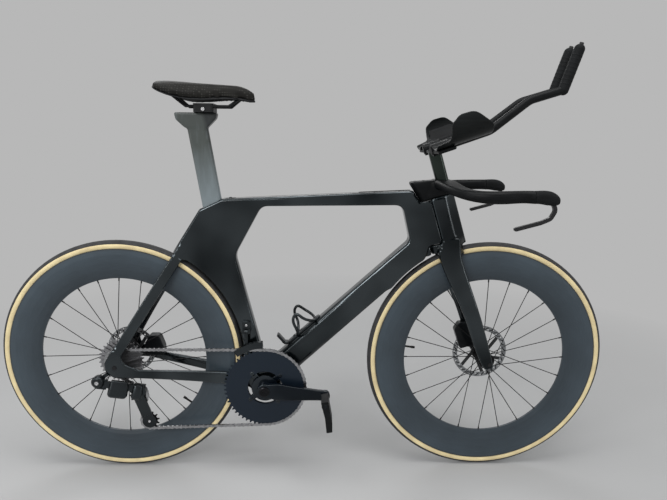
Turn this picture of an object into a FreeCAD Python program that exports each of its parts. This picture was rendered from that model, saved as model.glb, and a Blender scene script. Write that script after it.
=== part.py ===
import FreeCAD, Part
import math
import os
import Sketcher
from types import SimpleNamespace
from FreeCAD import Placement, Rotation, Vector

# Driving sizes in millimetres, with angles in degrees. Counts carry no unit.
SIZES = (
    # Layout
    ("drawing_unit", 100), ("wheelbase", 1032), ("bb_ahead", 403), ("bb_drop", 75), ("head_angle", 72.5),
    ("fork_offset", 44), ("run_gap", 1.2), ("slide_gap", 0.4), ("bearing_gap", 0.06), ("hair_gap", 0.2),
    # Wheels
    ("tyre_radius", 339), ("tyre_width", 28), ("tyre_clearance", 7), ("tyre_side_clearance", 5),
    ("rim_edge_radius", 316.5), ("rim_inner_radius", 230), ("rim_lip_width", 27), ("rim_widest", 29),
    ("bead_width", 22), ("bead_depth", 8), ("spoke_count", 24), ("spoke_width", 2.3),
    ("spoke_thickness", 1.1), ("spoke_grip", 3), ("spoke_cross_angle", 42), ("valve_radius", 2.8),
    ("valve_length", 26), ("valve_cap_radius", 3.6), ("valve_cap_length", 10), ("front_valve_angle", 172),
    ("rear_valve_angle", -38), ("axle_radius", 6), ("axle_head_radius", 9), ("axle_head_length", 5),
    ("front_spacing", 100), ("rear_spacing", 142), ("dropout_width", 10), ("hub_end_gap", 0.5),
    ("hub_shell_radius", 13), ("hub_end_radius", 9), ("flange_radius", 22), ("flange_width", 3),
    ("front_flange_at", 31), ("rear_flange_left", 33), ("rear_flange_right", 19), ("freehub_radius", 17),
    ("freehub_gap", 0.6), ("rotor_seat_radius", 15.5), ("rotor_inset_front", 10),
    ("rotor_inset_rear", 15), ("rotor_thickness", 1.8), ("front_rotor_radius", 80),
    ("rear_rotor_radius", 70), ("rotor_band", 14), ("rotor_arm_width", 9.5), ("rotor_carrier_radius", 24),
    ("rotor_carrier_width", 4), ("rotor_slot_radius", 2.2), ("rotor_slot_count", 30),
    ("rotor_arm_count", 6),
    # Drive
    ("chain_pitch", 12.7), ("roller_radius", 3.85), ("pin_radius", 1.8), ("plate_thickness", 0.68),
    ("inner_width", 2.1), ("plate_end_radius", 4.3), ("plate_waist", 3.1), ("plate_gap", 0.05),
    ("seat_gap", 0.12), ("tooth_thickness", 1.6), ("tooth_rise", 2.6), ("big_ring_teeth", 56),
    ("small_ring_teeth", 42), ("cog_pitch", 3.6), ("first_cog_inset", 5), ("pulley_teeth", 12),
    ("ring_step", 7), ("ring_inner_radius", 49), ("bolt_circle", 110), ("ring_bolt_radius", 4),
    ("ring_bolt_head_radius", 6), ("ring_bolt_head_length", 1.5), ("spider_arm_width", 17),
    ("spider_hub_radius", 27), ("crank_length", 170), ("crank_drop_angle", 4.5), ("crank_inner", 58.5),
    ("crank_thickness", 14), ("crank_root_width", 42), ("crank_tip_width", 27), ("spindle_radius", 12),
    ("crank_boss_inner", 46), ("bb_shell_radius", 42), ("bb_shell_half", 31), ("bb_bearing_radius", 20.5),
    ("bb_bearing_width", 8), ("pedal_axle_radius", 4.5), ("pedal_axle_length", 60), ("pedal_length", 90),
    ("pedal_ahead", 11), ("pedal_width", 52), ("pedal_thickness", 20), ("pedal_lean_angle", 10),
    ("pedal_gap", 3),
    # Rear derailleur
    ("guide_back", 468), ("guide_height", 243), ("pulley_spacing", 83), ("cage_lean_angle", 19.7),
    ("cage_search_angle", 14), ("pulley_axle_radius", 2.5), ("cage_half_gap", 4.8), ("cage_plate", 2),
    ("cage_plate_radius", 15), ("cage_pivot_back", 453), ("cage_pivot_height", 261),
    ("cage_pin_radius", 5), ("knuckle_radius", 12.5), ("knuckle_length", 13), ("b_pivot_back", 546),
    ("b_pivot_side", 80), ("b_pivot_height", 292), ("link_length", 76), ("link_pitch_angle", 10),
    ("link_tilt_angle", 20), ("link_yaw_angle", 14), ("link_end_radius", 7), ("link_half_height", 9),
    ("ear_thickness", 4), ("ear_gap", 0.5), ("link_pin_radius", 2.4), ("housing_start", 15),
    ("housing_length", 44), ("housing_half_height", 14), ("housing_out", 11), ("housing_round", 6),
    ("b_bolt_back", 561), ("b_bolt_height", 303), ("b_bolt_radius", 12), ("hanger_thickness", 6),
    # Front derailleur
    ("fd_hinge_height", 428), ("fd_hinge_back", 164), ("fd_plate", 1.2), ("fd_plate_depth", 18),
    ("fd_half_gap", 4.6), ("fd_ring_gap", 4.2), ("fd_start_angle", 92), ("fd_end_angle", 128),
    ("fd_pin_radius", 2), ("fd_body_length", 22), ("fd_body_height", 30), ("fd_ear", 5),
    ("fd_arm_width", 9),
    # Frame
    ("frame_head_half", 24), ("frame_tail_half", 17), ("frame_edge_radius", 8.5),
    ("head_nose_radius", 24), ("head_bottom", 367), ("head_top", 490),
    ("head_cone_radius", 17), ("cone_slope_share", 0.29), ("steerer_radius", 15),
    ("bearing_outer_radius", 20.5), ("bearing_height", 8), ("steerer_room", 2.5),
    ("down_tube_half_depth", 31), ("down_tube_round", 13), ("seat_tube_half_depth", 19),
    ("seat_tube_round", 9), ("stay_thickness", 11), ("stay_depth", 29), ("stay_round", 4.5),
    ("chain_stay_round", 5), ("boss_spacing", 64), ("boss_radius", 2.5), ("boss_depth", 14),
    ("boss_height", 470),
    # Seatpost and saddle
    ("post_chord", 54), ("post_width", 25), ("post_nose_radius", 11), ("post_angle", 81.2),
    ("post_back", 282.5), ("post_level", 980), ("post_reserve", 46), ("post_top", 996),
    ("post_well", 622), ("post_head_half", 13), ("post_head_round", 6), ("wedge_length", 26),
    ("wedge_half", 9), ("wedge_depth", 12), ("wedge_bolt_radius", 3.5), ("wedge_bolt_height", 2),
    ("rail_radius", 3.5), ("rail_height", 1032), ("clamp_back", 287), ("clamp_front", 235),
    ("clamp_half", 29), ("clamp_round", 7), ("clamp_bolt_radius", 4), ("clamp_bolt_length", 62),
    ("shell_thickness", 3),
    # Fork and cockpit
    ("fairing_inner_gap", 1.2), ("fairing_bottom", 340), ("crown_bottom", 318), ("crown_top", 365.6),
    ("stem_half", 23), ("stem_edge_radius", 7), ("stem_wide_from", 8), ("stem_bottom", 490.6),
    ("stem_top", 560), ("stem_cone_radius", 16), ("bar_half_width", 190), ("riser_chord", 34),
    ("riser_width", 24), ("riser_round", 10), ("riser_ahead", 56), ("riser_floor_gap", 2),
    ("riser_well", 492), ("riser_play", 0.4), ("arm_slope_angle", 18.8), ("arm_ahead", 54.272),
    ("arm_height", 957), ("cup_side", 110), ("cup_radius", 48), ("cup_wall", 3.5), ("cup_length", 142),
    ("cup_inner_angle", 32), ("cup_outer_angle", 112), ("pad_thickness", 10), ("pad_length", 118),
    ("pad_inner_angle", 26), ("pad_outer_angle", 78), ("bridge_length", 46), ("bridge_thickness", 9),
    ("bridge_half", 128), ("bridge_round", 4), ("extension_radius", 11), ("clamp_sleeve_radius", 15.5),
    ("extension_rear_side", 50), ("extension_tip_side", 28), ("extension_bend", 60),
    ("grip_radius", 13.5), ("grip_length", 104), ("grip_angle", 72.5), ("button_radius", 5.5),
    ("button_rise", 3.5), ("button_length", 9), ("button_gap", 0.15), ("button_travel", 1.2),
    ("lever_width", 8), ("lever_half", 4.6), ("lever_bend", 16), ("lever_slot_gap", 0.6),
    ("lever_pin_radius", 2.5), ("lever_head_radius", 8.5),
    # Brakes
    ("caliper_slot", 3.6), ("caliper_width", 29), ("caliper_round", 4), ("caliper_rotor_gap", 1.5),
    ("front_caliper_inset", 8.8),
    # Bottle cage
    ("bottle_radius", 37.5), ("cage_rod_radius", 2.6), ("cage_base_length", 118), ("cage_base_width", 20),
    ("cage_base_thickness", 4), ("cage_bolt_radius", 2.5), ("cage_bolt_head", 4.5),
    ("cage_bolt_rise", 2.5), ("cage_bolt_depth", 12),
)
COG_TEETH = (11, 12, 13, 14, 15, 17, 19, 21, 23, 25, 27, 30)
CHAIN_COG = 6

doc = FreeCAD.newDocument("time_trial_bike")
sheet = doc.addObject("Spreadsheet::Sheet", "sizes")
for row, (alias, value) in enumerate(SIZES, start=1):
    sheet.set("A%d" % row, alias)
    sheet.set("B%d" % row, str(value))
    sheet.setAlias("B%d" % row, alias)
doc.recompute()
s = SimpleNamespace(**{alias: float(sheet.get(alias)) for alias, value in SIZES})

ACROSS = Vector(0, 1, 0)
AHEAD = Vector(1, 0, 0)
UP = Vector(0, 0, 1)
NODES = []


# Helpers
def node(item, label):
    """Give a finished object its label and list it for export."""
    item.Label = label
    NODES.append(item)
    return item


def shaped(label, shape, place=None):
    """One sub-part whose shape no single feature can describe."""
    item = doc.addObject("Part::Feature", label)
    item.Shape = shape
    if place is not None:
        item.Placement = place.multiply(item.Placement)
    return node(item, label)


def bind(item, **formulas):
    """Bind properties of an object to cells of the sheet."""
    for name, formula in formulas.items():
        item.setExpression(name, formula)
    return item


def round_bar(name, radius, length, start, way):
    """A cylinder whose radius and length are sheet formulas."""
    item = doc.addObject("Part::Cylinder", name)
    bind(item, Radius=radius, Height=length)
    item.Placement = Placement(start, Rotation(UP, way))
    return item


def fused(name, *items):
    """A union of document objects."""
    item = doc.addObject("Part::MultiFuse", name)
    item.Shapes = list(items)
    return item


def removed(name, base, tool):
    """A document object with another taken away."""
    item = doc.addObject("Part::Cut", name)
    item.Base = base
    item.Tool = tool
    return item


def turned_body(label, corners, place):
    """A body turned about its own Y axis from (y, radius) corners given as sheet formulas."""
    body = doc.addObject("PartDesign::Body", label)
    sketch = body.newObject("Sketcher::SketchObject", label + "_outline")
    plane = [item for item in body.Origin.OriginFeatures if item.Role == "YZ_Plane"][0]
    sketch.AttachmentSupport = [(plane, "")]
    sketch.MapMode = "FlatFace"
    spots = [tuple(float(sheet.evalExpression(formula)) for formula in corner) for corner in corners]
    count = len(spots)
    for number, spot in enumerate(spots):
        after = spots[(number + 1) % count]
        sketch.addGeometry(Part.LineSegment(Vector(*spot, 0), Vector(*after, 0)), False)
    for number in range(count):
        sketch.addConstraint(Sketcher.Constraint("Coincident", number, 2, (number + 1) % count, 1))
    for number, spot in enumerate(spots):
        for kind, value, formula in zip(("DistanceX", "DistanceY"), spot, corners[number]):
            if value == 0:
                rule = Sketcher.Constraint("PointOnObject", number, 1, -2 if kind == "DistanceX" else -1)
                sketch.addConstraint(rule)
            else:
                index = sketch.addConstraint(Sketcher.Constraint(kind, -1, 1, number, 1, value))
                sketch.setExpression("Constraints[%d]" % index, formula)
    doc.recompute()
    turn = body.newObject("PartDesign::Revolution", label + "_turn")
    turn.Profile = sketch
    turn.ReferenceAxis = (sketch, ["H_Axis"])
    turn.Angle = 360
    body.Placement = place
    return node(body, label)


def side_view(u, v):
    """A point of the centre plane."""
    return Vector(u, 0, v)


def rounded_wire(corners, lift):
    """A closed wire of lines and corner arcs through (u, v, radius) corners."""
    flat = [Vector(u, v, 0) for u, v, radius in corners]
    count = len(flat)
    spans = []
    for number, (u, v, radius) in enumerate(corners):
        here = flat[number]
        back = (flat[number - 1] - here).normalize()
        onward = (flat[(number + 1) % count] - here).normalize()
        if radius == 0:
            spans.append((here, None, here))
            continue
        half = back.getAngle(onward) / 2
        reach = radius / math.tan(half)
        middle = (back + onward).normalize()
        spans.append((here + back * reach, here + middle * (radius / math.sin(half) - radius),
                      here + onward * reach))
    edges = []
    for number, (enter, middle, leave) in enumerate(spans):
        if middle is not None:
            edges.append(Part.Arc(*[lift(spot.x, spot.y) for spot in (enter, middle, leave)]).toShape())
        after = spans[(number + 1) % count][0]
        if (after - leave).Length > s.hair_gap / s.drawing_unit:
            edges.append(Part.LineSegment(lift(leave.x, leave.y), lift(after.x, after.y)).toShape())
    return Part.Wire(edges)


def prism(corners, lift, way):
    """A straight solid on a rounded outline."""
    return Part.Face(rounded_wire(corners, lift)).extrude(way)


def slab(corners, low, high):
    """A side-view outline made solid between two Y positions."""
    return prism(corners, lambda u, v: Vector(u, low, v), Vector(0, high - low, 0))


def drawn(shares):
    """Outline corners in millimetres from corners in shares of the drawing unit."""
    return [tuple(value * s.drawing_unit for value in corner) for corner in shares]


def section(centre, across, up, half_across, half_up, radius):
    """A rounded rectangle round a centre point, for a loft."""
    signs = ((-1, -1), (1, -1), (1, 1), (-1, 1))
    corners = [(a * half_across, b * half_up, radius) for a, b in signs]
    return rounded_wire(corners, lambda u, v: centre + across * u + up * v)


def cylinder(start, end, radius):
    """A solid round bar between two points."""
    return Part.makeCylinder(radius, (end - start).Length, start, end - start)


def joined(first, *others):
    """One solid from overlapping shapes, without leftover seams."""
    return first.fuse(list(others)).removeSplitter()


def side_edges(shape):
    """The edges round the flat faces that look to the left and right."""
    edges = []
    for face in shape.Faces:
        low, high, first, last = face.ParameterRange
        normal = face.normalAt((low + high) / 2, (first + last) / 2)
        sideways = abs(normal.y) > math.cos(math.radians(s.link_yaw_angle))
        if sideways and face.Surface.TypeId == "Part::GeomPlane":
            edges.extend(face.Edges)
    return edges


def ribbon(path, half, bend):
    """The rounded outline of a strip of even width along a bent centre line."""
    flat = [Vector(u, v, 0) for u, v in path]
    left, right = [], []
    for number, here in enumerate(flat):
        back = (here - flat[number - 1]).normalize() if number else None
        onward = (flat[number + 1] - here).normalize() if number < len(flat) - 1 else None
        back = back or onward
        onward = onward or back
        mean = (back + onward).normalize()
        out = Vector(-mean.y, mean.x, 0) * (half / math.cos(back.getAngle(onward) / 2))
        turn = back.cross(onward).z
        inside, outside = max(bend - half, half / 2), bend + half
        ends = number in (0, len(flat) - 1)
        radius_left = half * 0.9 if ends else (inside if turn > 0 else outside)
        radius_right = half * 0.9 if ends else (outside if turn > 0 else inside)
        left.append((here.x + out.x, here.y + out.y, radius_left))
        right.append((here.x - out.x, here.y - out.y, radius_right))
    return left + right[::-1]


def swept(edges, radius):
    """A round rod along a chain of tangent edges."""
    path = Part.Wire(Part.__sortEdges__(edges))
    start = path.OrderedVertexes[0].Point
    first = path.OrderedEdges[0]
    way = first.tangentAt(first.FirstParameter)
    if (first.valueAt(first.FirstParameter) - start).Length > s.hair_gap:
        way = first.tangentAt(first.LastParameter) * -1
    ring = Part.Wire(Part.Circle(start, way, radius).toShape())
    return path.makePipeShell([ring], True, False)


def bent_line(points, radius):
    """Tangent lines and arcs through points in space, for a sweep."""
    edges = []
    last = points[0]
    for number in range(1, len(points) - 1):
        here = points[number]
        back = (points[number - 1] - here).normalize()
        onward = (points[number + 1] - here).normalize()
        half = back.getAngle(onward) / 2
        reach = radius / math.tan(half)
        middle = here + (back + onward).normalize() * (radius / math.sin(half) - radius)
        edges.append(Part.LineSegment(last, here + back * reach).toShape())
        edges.append(Part.Arc(here + back * reach, middle, here + onward * reach).toShape())
        last = here + onward * reach
    edges.append(Part.LineSegment(last, points[-1]).toShape())
    return edges


def mirrored(shape):
    """The same shape on the other side of the centre plane."""
    return shape.mirror(Vector(), ACROSS)


# Layout points
front_axle = Vector(s.wheelbase / 2, 0, s.tyre_radius)
rear_axle = Vector(-s.wheelbase / 2, 0, s.tyre_radius)
bb = Vector(s.bb_ahead - s.wheelbase / 2, 0, s.tyre_radius - s.bb_drop)
steer_tilt = Rotation(ACROSS, s.head_angle - 90)
steer_ahead = steer_tilt.multVec(AHEAD)
steer_up = steer_tilt.multVec(UP)
steer_base = front_axle - steer_ahead * s.fork_offset
steering = Placement(steer_base, steer_tilt)
chain_y = -(s.rear_spacing / 2 - s.first_cog_inset - CHAIN_COG * s.cog_pitch)
front_rotor_y = s.front_spacing / 2 - s.rotor_inset_front
rear_rotor_y = s.rear_spacing / 2 - s.rotor_inset_rear
fork_outer = s.front_spacing / 2 + s.dropout_width
stay_outer = s.rear_spacing / 2 + s.dropout_width

# Wheels
RIM_SHARES = ((1.0, 0.19), (0.93, 0.44), (0.76, 0.68), (0.5, 0.87), (0.22, 0.98))
rim_depth = "(sizes.rim_edge_radius - sizes.rim_inner_radius)"
rim_side = [("sizes.rim_lip_width / 2", "sizes.rim_edge_radius")]
for wide, deep in RIM_SHARES:
    rim_side.append(("%g * sizes.rim_widest / 2" % wide, "sizes.rim_edge_radius - %g * %s" % (deep,
                                                                                              rim_depth)))
bead_side = [("sizes.bead_width / 2", "sizes.rim_edge_radius - sizes.bead_depth"),
             ("sizes.bead_width / 2", "sizes.rim_edge_radius")]
right_half = bead_side + rim_side
left_half = [("-" + along, radius) for along, radius in reversed(right_half)]
bore = "sizes.axle_radius + sizes.bearing_gap"


def hub_corners(left_end, left_flange, right_flange, right_end, rotor_at):
    """Half outline of a hub, from its right end to its left, as sheet formulas."""
    half = "sizes.flange_width / 2"
    seat_end = "%s + sizes.rotor_carrier_width / 2" % rotor_at
    return [
        ("-(%s)" % right_end, bore), ("-(%s)" % right_end, "sizes.hub_end_radius"),
        ("-(%s + %s)" % (right_flange, half), "sizes.hub_end_radius"),
        ("-(%s + %s)" % (right_flange, half), "sizes.flange_radius"),
        ("-(%s - %s)" % (right_flange, half), "sizes.flange_radius"),
        ("-(%s - %s)" % (right_flange, half), "sizes.hub_shell_radius"),
        ("%s - %s" % (left_flange, half), "sizes.hub_shell_radius"),
        ("%s - %s" % (left_flange, half), "sizes.flange_radius"),
        ("%s + %s" % (left_flange, half), "sizes.flange_radius"),
        ("%s + %s" % (left_flange, half), "sizes.rotor_seat_radius"),
        (seat_end, "sizes.rotor_seat_radius"), (seat_end, "sizes.hub_end_radius"),
        (left_end, "sizes.hub_end_radius"), (left_end, bore)]


def spoke_set(left_at, right_at):
    """All spokes of one wheel round its own axle."""
    solids = []
    for number in range(int(s.spoke_count)):
        plane = left_at if number % 2 else -right_at
        sense = 1 if (number // 2) % 2 else -1
        rim_angle = math.radians(360 / s.spoke_count * number)
        hub_angle = rim_angle + sense * math.radians(s.spoke_cross_angle)
        inner = s.flange_radius - s.spoke_grip / 2
        start = Vector(inner * math.cos(hub_angle), plane, inner * math.sin(hub_angle))
        outer = s.rim_inner_radius + s.spoke_grip
        end = Vector(outer * math.cos(rim_angle), 0, outer * math.sin(rim_angle))
        way = (end - start).normalize()
        flat = (way.cross(ACROSS)).normalize()
        thin = way.cross(flat).normalize()
        oval = Part.Ellipse(start + flat * (s.spoke_width / 2), start + thin * (s.spoke_thickness / 2), start)
        solids.append(Part.Face(Part.Wire(oval.toShape())).extrude(end - start))
    return Part.makeCompound(solids)


def rotor(radius, at):
    """A brake rotor round its own axle, with a slotted band, slanted arms and a carrier."""
    low = at - s.rotor_thickness / 2
    thick = Vector(0, s.rotor_thickness, 0)
    foot = Vector(0, low, 0)
    band = Part.makeCylinder(radius, s.rotor_thickness, foot, ACROSS)
    band = band.cut(Part.makeCylinder(radius - s.rotor_band, s.rotor_thickness, foot, ACROSS))
    arms = []
    for number in range(int(s.rotor_arm_count)):
        turn = Rotation(ACROSS, 360 / s.rotor_arm_count * number)
        reach = radius - s.rotor_band / 2
        lean = math.radians(s.spoke_cross_angle)
        inner = Vector(s.rotor_carrier_radius * 0.8, 0, 0)
        outer = Vector(reach * math.cos(lean), 0, reach * math.sin(lean))
        along = (outer - inner).normalize()
        beside = along.cross(ACROSS) * (s.rotor_arm_width / 2)
        spots = [turn.multVec(spot) + foot for spot in (inner + beside, outer + beside, outer - beside,
                                                        inner - beside)]
        arms.append(Part.Face(Part.makePolygon(spots + spots[:1])).extrude(thick))
    carrier_foot = Vector(0, at - s.rotor_carrier_width / 2, 0)
    carrier = Part.makeCylinder(s.rotor_carrier_radius, s.rotor_carrier_width, carrier_foot, ACROSS)
    whole = joined(band, carrier, *arms)
    slots = [Part.makeCylinder(s.rotor_seat_radius, s.rotor_carrier_width, carrier_foot, ACROSS)]
    for number in range(int(s.rotor_slot_count)):
        angle = math.radians(360 / s.rotor_slot_count * number)
        ring = radius - s.rotor_band * (0.33 if number % 2 else 0.67)
        slots.append(Part.makeCylinder(s.rotor_slot_radius, s.rotor_thickness,
                                       foot + Vector(ring * math.cos(angle), 0, ring * math.sin(angle)),
                                       ACROSS))
    return whole.cut(slots)


def valve(angle):
    """A valve stem with its cap, standing out of the rim towards the hub."""
    way = Vector(math.cos(math.radians(angle)), 0, math.sin(math.radians(angle)))
    root = way * (s.rim_inner_radius + s.spoke_grip)
    tip = way * (s.rim_inner_radius - s.valve_length)
    collar = tip + way * s.valve_cap_length
    return joined(cylinder(root, collar, s.valve_radius), cylinder(collar, tip, s.valve_cap_radius))


WHEELS = (
    ("front", front_axle, "sizes.front_flange_at", "sizes.front_flange_at", "sizes.front_spacing",
     "sizes.rotor_inset_front", s.front_rotor_radius, front_rotor_y, s.front_valve_angle),
    ("rear", rear_axle, "sizes.rear_flange_left", "sizes.rear_flange_right", "sizes.rear_spacing",
     "sizes.rotor_inset_rear", s.rear_rotor_radius, rear_rotor_y, s.rear_valve_angle))
for name, axle, left_flange, right_flange, spacing, inset, rotor_radius, rotor_y, valve_angle in WHEELS:
    place = Placement(axle, Rotation())
    round_tube = doc.addObject("Part::Torus", name + "_casing")
    bind(round_tube, Radius1="sizes.tyre_radius - sizes.tyre_width / 2", Radius2="sizes.tyre_width / 2")
    round_tube.Placement = Placement(axle, Rotation(UP, ACROSS))
    low = axle - ACROSS * s.tyre_width
    core = round_bar(name + "_core", "sizes.rim_edge_radius", "2 * sizes.tyre_width", low, ACROSS)
    crown_ring = removed(name + "_crown_ring", round_tube, core)
    bead_low = axle - ACROSS * (s.bead_width / 2)
    bead_disc = round_bar(name + "_bead_disc", "sizes.rim_edge_radius", "sizes.bead_width", bead_low, ACROSS)
    bead_hole = round_bar(name + "_bead_hole", "sizes.rim_edge_radius - sizes.bead_depth", "sizes.bead_width",
                          bead_low, ACROSS)
    bead = removed(name + "_bead", bead_disc, bead_hole)
    node(fused(name + "_tyre", crown_ring, bead), name + "_tyre")
    turned_body(name + "_rim", left_half + right_half, place)
    end = "%s / 2 - sizes.hub_end_gap" % spacing
    right_end = end if name == "front" else "%s + sizes.flange_width" % right_flange
    turned_body(name + "_hub", hub_corners(end, left_flange, right_flange, right_end,
                                           "%s / 2 - %s" % (spacing, inset)), place)
    left_at = s.front_flange_at if name == "front" else s.rear_flange_left
    right_at = s.front_flange_at if name == "front" else s.rear_flange_right
    shaped(name + "_spokes", spoke_set(left_at, right_at), place)
    shaped(name + "_rotor", rotor(rotor_radius, rotor_y), place)
    shaped(name + "_valve", valve(valve_angle), place)

front_bar = round_bar("front_axle_bar", "sizes.axle_radius", "sizes.front_spacing + 2 * sizes.dropout_width",
                      front_axle - ACROSS * fork_outer, ACROSS)
front_head = round_bar("front_axle_cap", "sizes.axle_head_radius", "sizes.axle_head_length",
                       front_axle + ACROSS * fork_outer, ACROSS)
node(fused("front_axle", front_bar, front_head), "front_axle")
rear_bar = round_bar("rear_axle_bar", "sizes.axle_radius", "sizes.rear_spacing + 2 * sizes.dropout_width",
                     rear_axle - ACROSS * stay_outer, ACROSS)
rear_head = round_bar("rear_axle_cap", "sizes.axle_head_radius", "sizes.axle_head_length",
                      rear_axle + ACROSS * stay_outer, ACROSS)
node(fused("rear_axle", rear_bar, rear_head), "rear_axle")


# Drive
def pitch_radius(teeth):
    """Radius of the roller centres on a toothed wheel."""
    return s.chain_pitch / (2 * math.sin(math.pi / teeth))


def toothed_face(teeth, phase, rise):
    """A toothed outline in the side view, with one roller seat at the phase angle."""
    radius = pitch_radius(teeth)
    seat = s.roller_radius + s.seat_gap
    open_angle = math.radians(62)
    tip_share = 0.24
    edges = []
    first = None
    last = None
    for number in range(teeth):
        middle = phase + 2 * math.pi / teeth * number
        way = Vector(math.cos(middle), 0, math.sin(middle))
        along = Vector(-math.sin(middle), 0, math.cos(middle))
        centre = way * radius
        enter = centre - way * (seat * math.cos(open_angle)) - along * (seat * math.sin(open_angle))
        leave = centre - way * (seat * math.cos(open_angle)) + along * (seat * math.sin(open_angle))
        if last is not None:
            edges.append(Part.LineSegment(last, enter).toShape())
        else:
            first = enter
        edges.append(Part.Arc(enter, centre - way * seat, leave).toShape())
        tips = []
        for share in (0.5 - tip_share / 2, 0.5 + tip_share / 2):
            angle = middle + 2 * math.pi / teeth * share
            tips.append(Vector(math.cos(angle), 0, math.sin(angle)) * (radius + rise))
        edges.append(Part.LineSegment(leave, tips[0]).toShape())
        edges.append(Part.LineSegment(tips[0], tips[1]).toShape())
        last = tips[1]
    edges.append(Part.LineSegment(last, first).toShape())
    return Part.Face(Part.Wire(edges))


def toothed_disc(teeth, phase, hole, at, thickness):
    """A toothed wheel of even thickness with a round hole, centred on its own axis."""
    disc = toothed_face(teeth, phase, s.tooth_rise).extrude(Vector(0, thickness, 0))
    disc.translate(Vector(0, at - thickness / 2, 0))
    return disc.cut(Part.makeCylinder(hole, thickness * 3, Vector(0, at - thickness * 1.5, 0), ACROSS))


def flat_angle(way):
    """Angle of a side-view direction from straight ahead."""
    return math.atan2(way.z, way.x)


def first_seat(last, centre, radius, sense):
    """Where a taut chain run from the last roller first seats on a wheel, a whole number of links on."""
    apart = (last - centre).Length
    tangent = math.sqrt(apart ** 2 - radius ** 2)
    links = round(tangent / s.chain_pitch)
    reach = links * s.chain_pitch
    angle = math.acos((apart ** 2 + radius ** 2 - reach ** 2) / (2 * apart * radius))
    return links, flat_angle(last - centre) + sense * angle


def leaving_angle(centre, radius, sense, next_centre, next_radius, next_sense):
    """Angle on a wheel at which the common tangent to the next wheel leaves it."""
    span = next_centre - centre
    mix = radius - next_radius if sense == next_sense else radius + next_radius
    return flat_angle(span) - sense * math.acos(mix / span.Length)


def wrap_count(start, stop, sense, teeth):
    """How many whole teeth lie between two angles, going round in the given sense."""
    turn = (sense * (stop - start)) % (2 * math.pi)
    return round(turn / (2 * math.pi / teeth))


def chain_lap(cage_angle):
    """Roller centres round the drive for one cage angle, each wheel's seat angle, and the closing misfit."""
    guide = Vector(-s.guide_back, 0, s.guide_height)
    tension = guide + Vector(math.sin(cage_angle), 0, -math.cos(cage_angle)) * s.pulley_spacing
    teeth = (int(s.big_ring_teeth), COG_TEETH[CHAIN_COG], int(s.pulley_teeth), int(s.pulley_teeth))
    centres = (bb, rear_axle, guide, tension)
    senses = (1, 1, -1, 1)
    radii = [pitch_radius(number) for number in teeth]
    ring_phase = leaving_angle(bb, radii[0], 1, rear_axle, radii[1], 1)
    phases = [ring_phase]
    rollers = [bb + Vector(math.cos(ring_phase), 0, math.sin(ring_phase)) * radii[0]]
    for number in (1, 2, 3):
        links, angle = first_seat(rollers[-1], centres[number], radii[number], senses[number])
        seat = centres[number] + Vector(math.cos(angle), 0, math.sin(angle)) * radii[number]
        start = rollers[-1]
        for link in range(1, links):
            rollers.append(start + (seat - start) * (link / links))
        rollers.append(seat)
        phases.append(angle)
        after = (number + 1) % 4
        leave = leaving_angle(centres[number], radii[number], senses[number],
                              centres[after], radii[after], senses[after])
        for step in range(1, wrap_count(angle, leave, senses[number], teeth[number]) + 1):
            turn = angle + senses[number] * step * 2 * math.pi / teeth[number]
            rollers.append(centres[number] + Vector(math.cos(turn), 0, math.sin(turn)) * radii[number])
    last = rollers[-1]
    links, angle = first_seat(last, bb, radii[0], 1)
    pitch = 2 * math.pi / teeth[0]
    seats = round((angle - ring_phase) / pitch)
    entry = ring_phase + seats * pitch
    seat = bb + Vector(math.cos(entry), 0, math.sin(entry)) * radii[0]
    misfit = (seat - last).Length - links * s.chain_pitch
    for link in range(1, links):
        rollers.append(last + (seat - last) * (link / links))
    remaining = wrap_count(entry, ring_phase, 1, teeth[0])
    for step in range(remaining):
        turn = entry + step * pitch
        rollers.append(bb + Vector(math.cos(turn), 0, math.sin(turn)) * radii[0])
    return rollers, phases, tension, misfit


def settled_chain():
    """The chain lap nearest to the drawn cage angle that closes with an even number of links."""
    drawn_angle = math.radians(s.cage_lean_angle)
    reach = math.radians(s.cage_search_angle)
    steps = 240
    found = []
    for step in range(steps):
        low = drawn_angle - reach + 2 * reach * step / steps
        high = drawn_angle - reach + 2 * reach * (step + 1) / steps
        low_lap, high_lap = chain_lap(low), chain_lap(high)
        closes = low_lap[3] * high_lap[3] <= 0 and abs(low_lap[3] - high_lap[3]) < s.chain_pitch / 2
        if not closes or len(low_lap[0]) != len(high_lap[0]) or len(low_lap[0]) % 2:
            continue
        for halving in range(50):
            middle = (low + high) / 2
            if chain_lap(middle)[3] * low_lap[3] > 0:
                low = middle
            else:
                high = middle
        found.append((abs(high - drawn_angle), high))
    return min(found)[1]


cage_angle = settled_chain()
rollers, phases, tension_centre, misfit = chain_lap(cage_angle)
guide_centre = Vector(-s.guide_back, chain_y, s.guide_height)
tension_centre = Vector(tension_centre.x, chain_y, tension_centre.z)


def chain_plate(low):
    """One waisted link plate along X, from a Y position up by its thickness."""
    half = s.chain_pitch / 2
    lean = math.radians(58)
    end = s.plate_end_radius
    spots = []
    for sign_x, sign_z in ((1, -1), (1, 1), (-1, 1), (-1, -1)):
        spots.append(Vector(sign_x * (half - end * math.cos(lean)), low, sign_z * end * math.sin(lean)))
    edges = [Part.Arc(spots[0], Vector(half + end, low, 0), spots[1]).toShape(),
             Part.Arc(spots[1], Vector(0, low, s.plate_waist), spots[2]).toShape(),
             Part.Arc(spots[2], Vector(-half - end, low, 0), spots[3]).toShape(),
             Part.Arc(spots[3], Vector(0, low, -s.plate_waist), spots[0]).toShape()]
    return Part.Face(Part.Wire(edges)).extrude(Vector(0, s.plate_thickness, 0))


def link_ends(low, high, radius):
    """Two round bars across a link, at its two roller centres."""
    half = s.chain_pitch / 2
    return [Part.makeCylinder(radius, high - low, Vector(at, low, 0), ACROSS) for at in (-half, half)]


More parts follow.
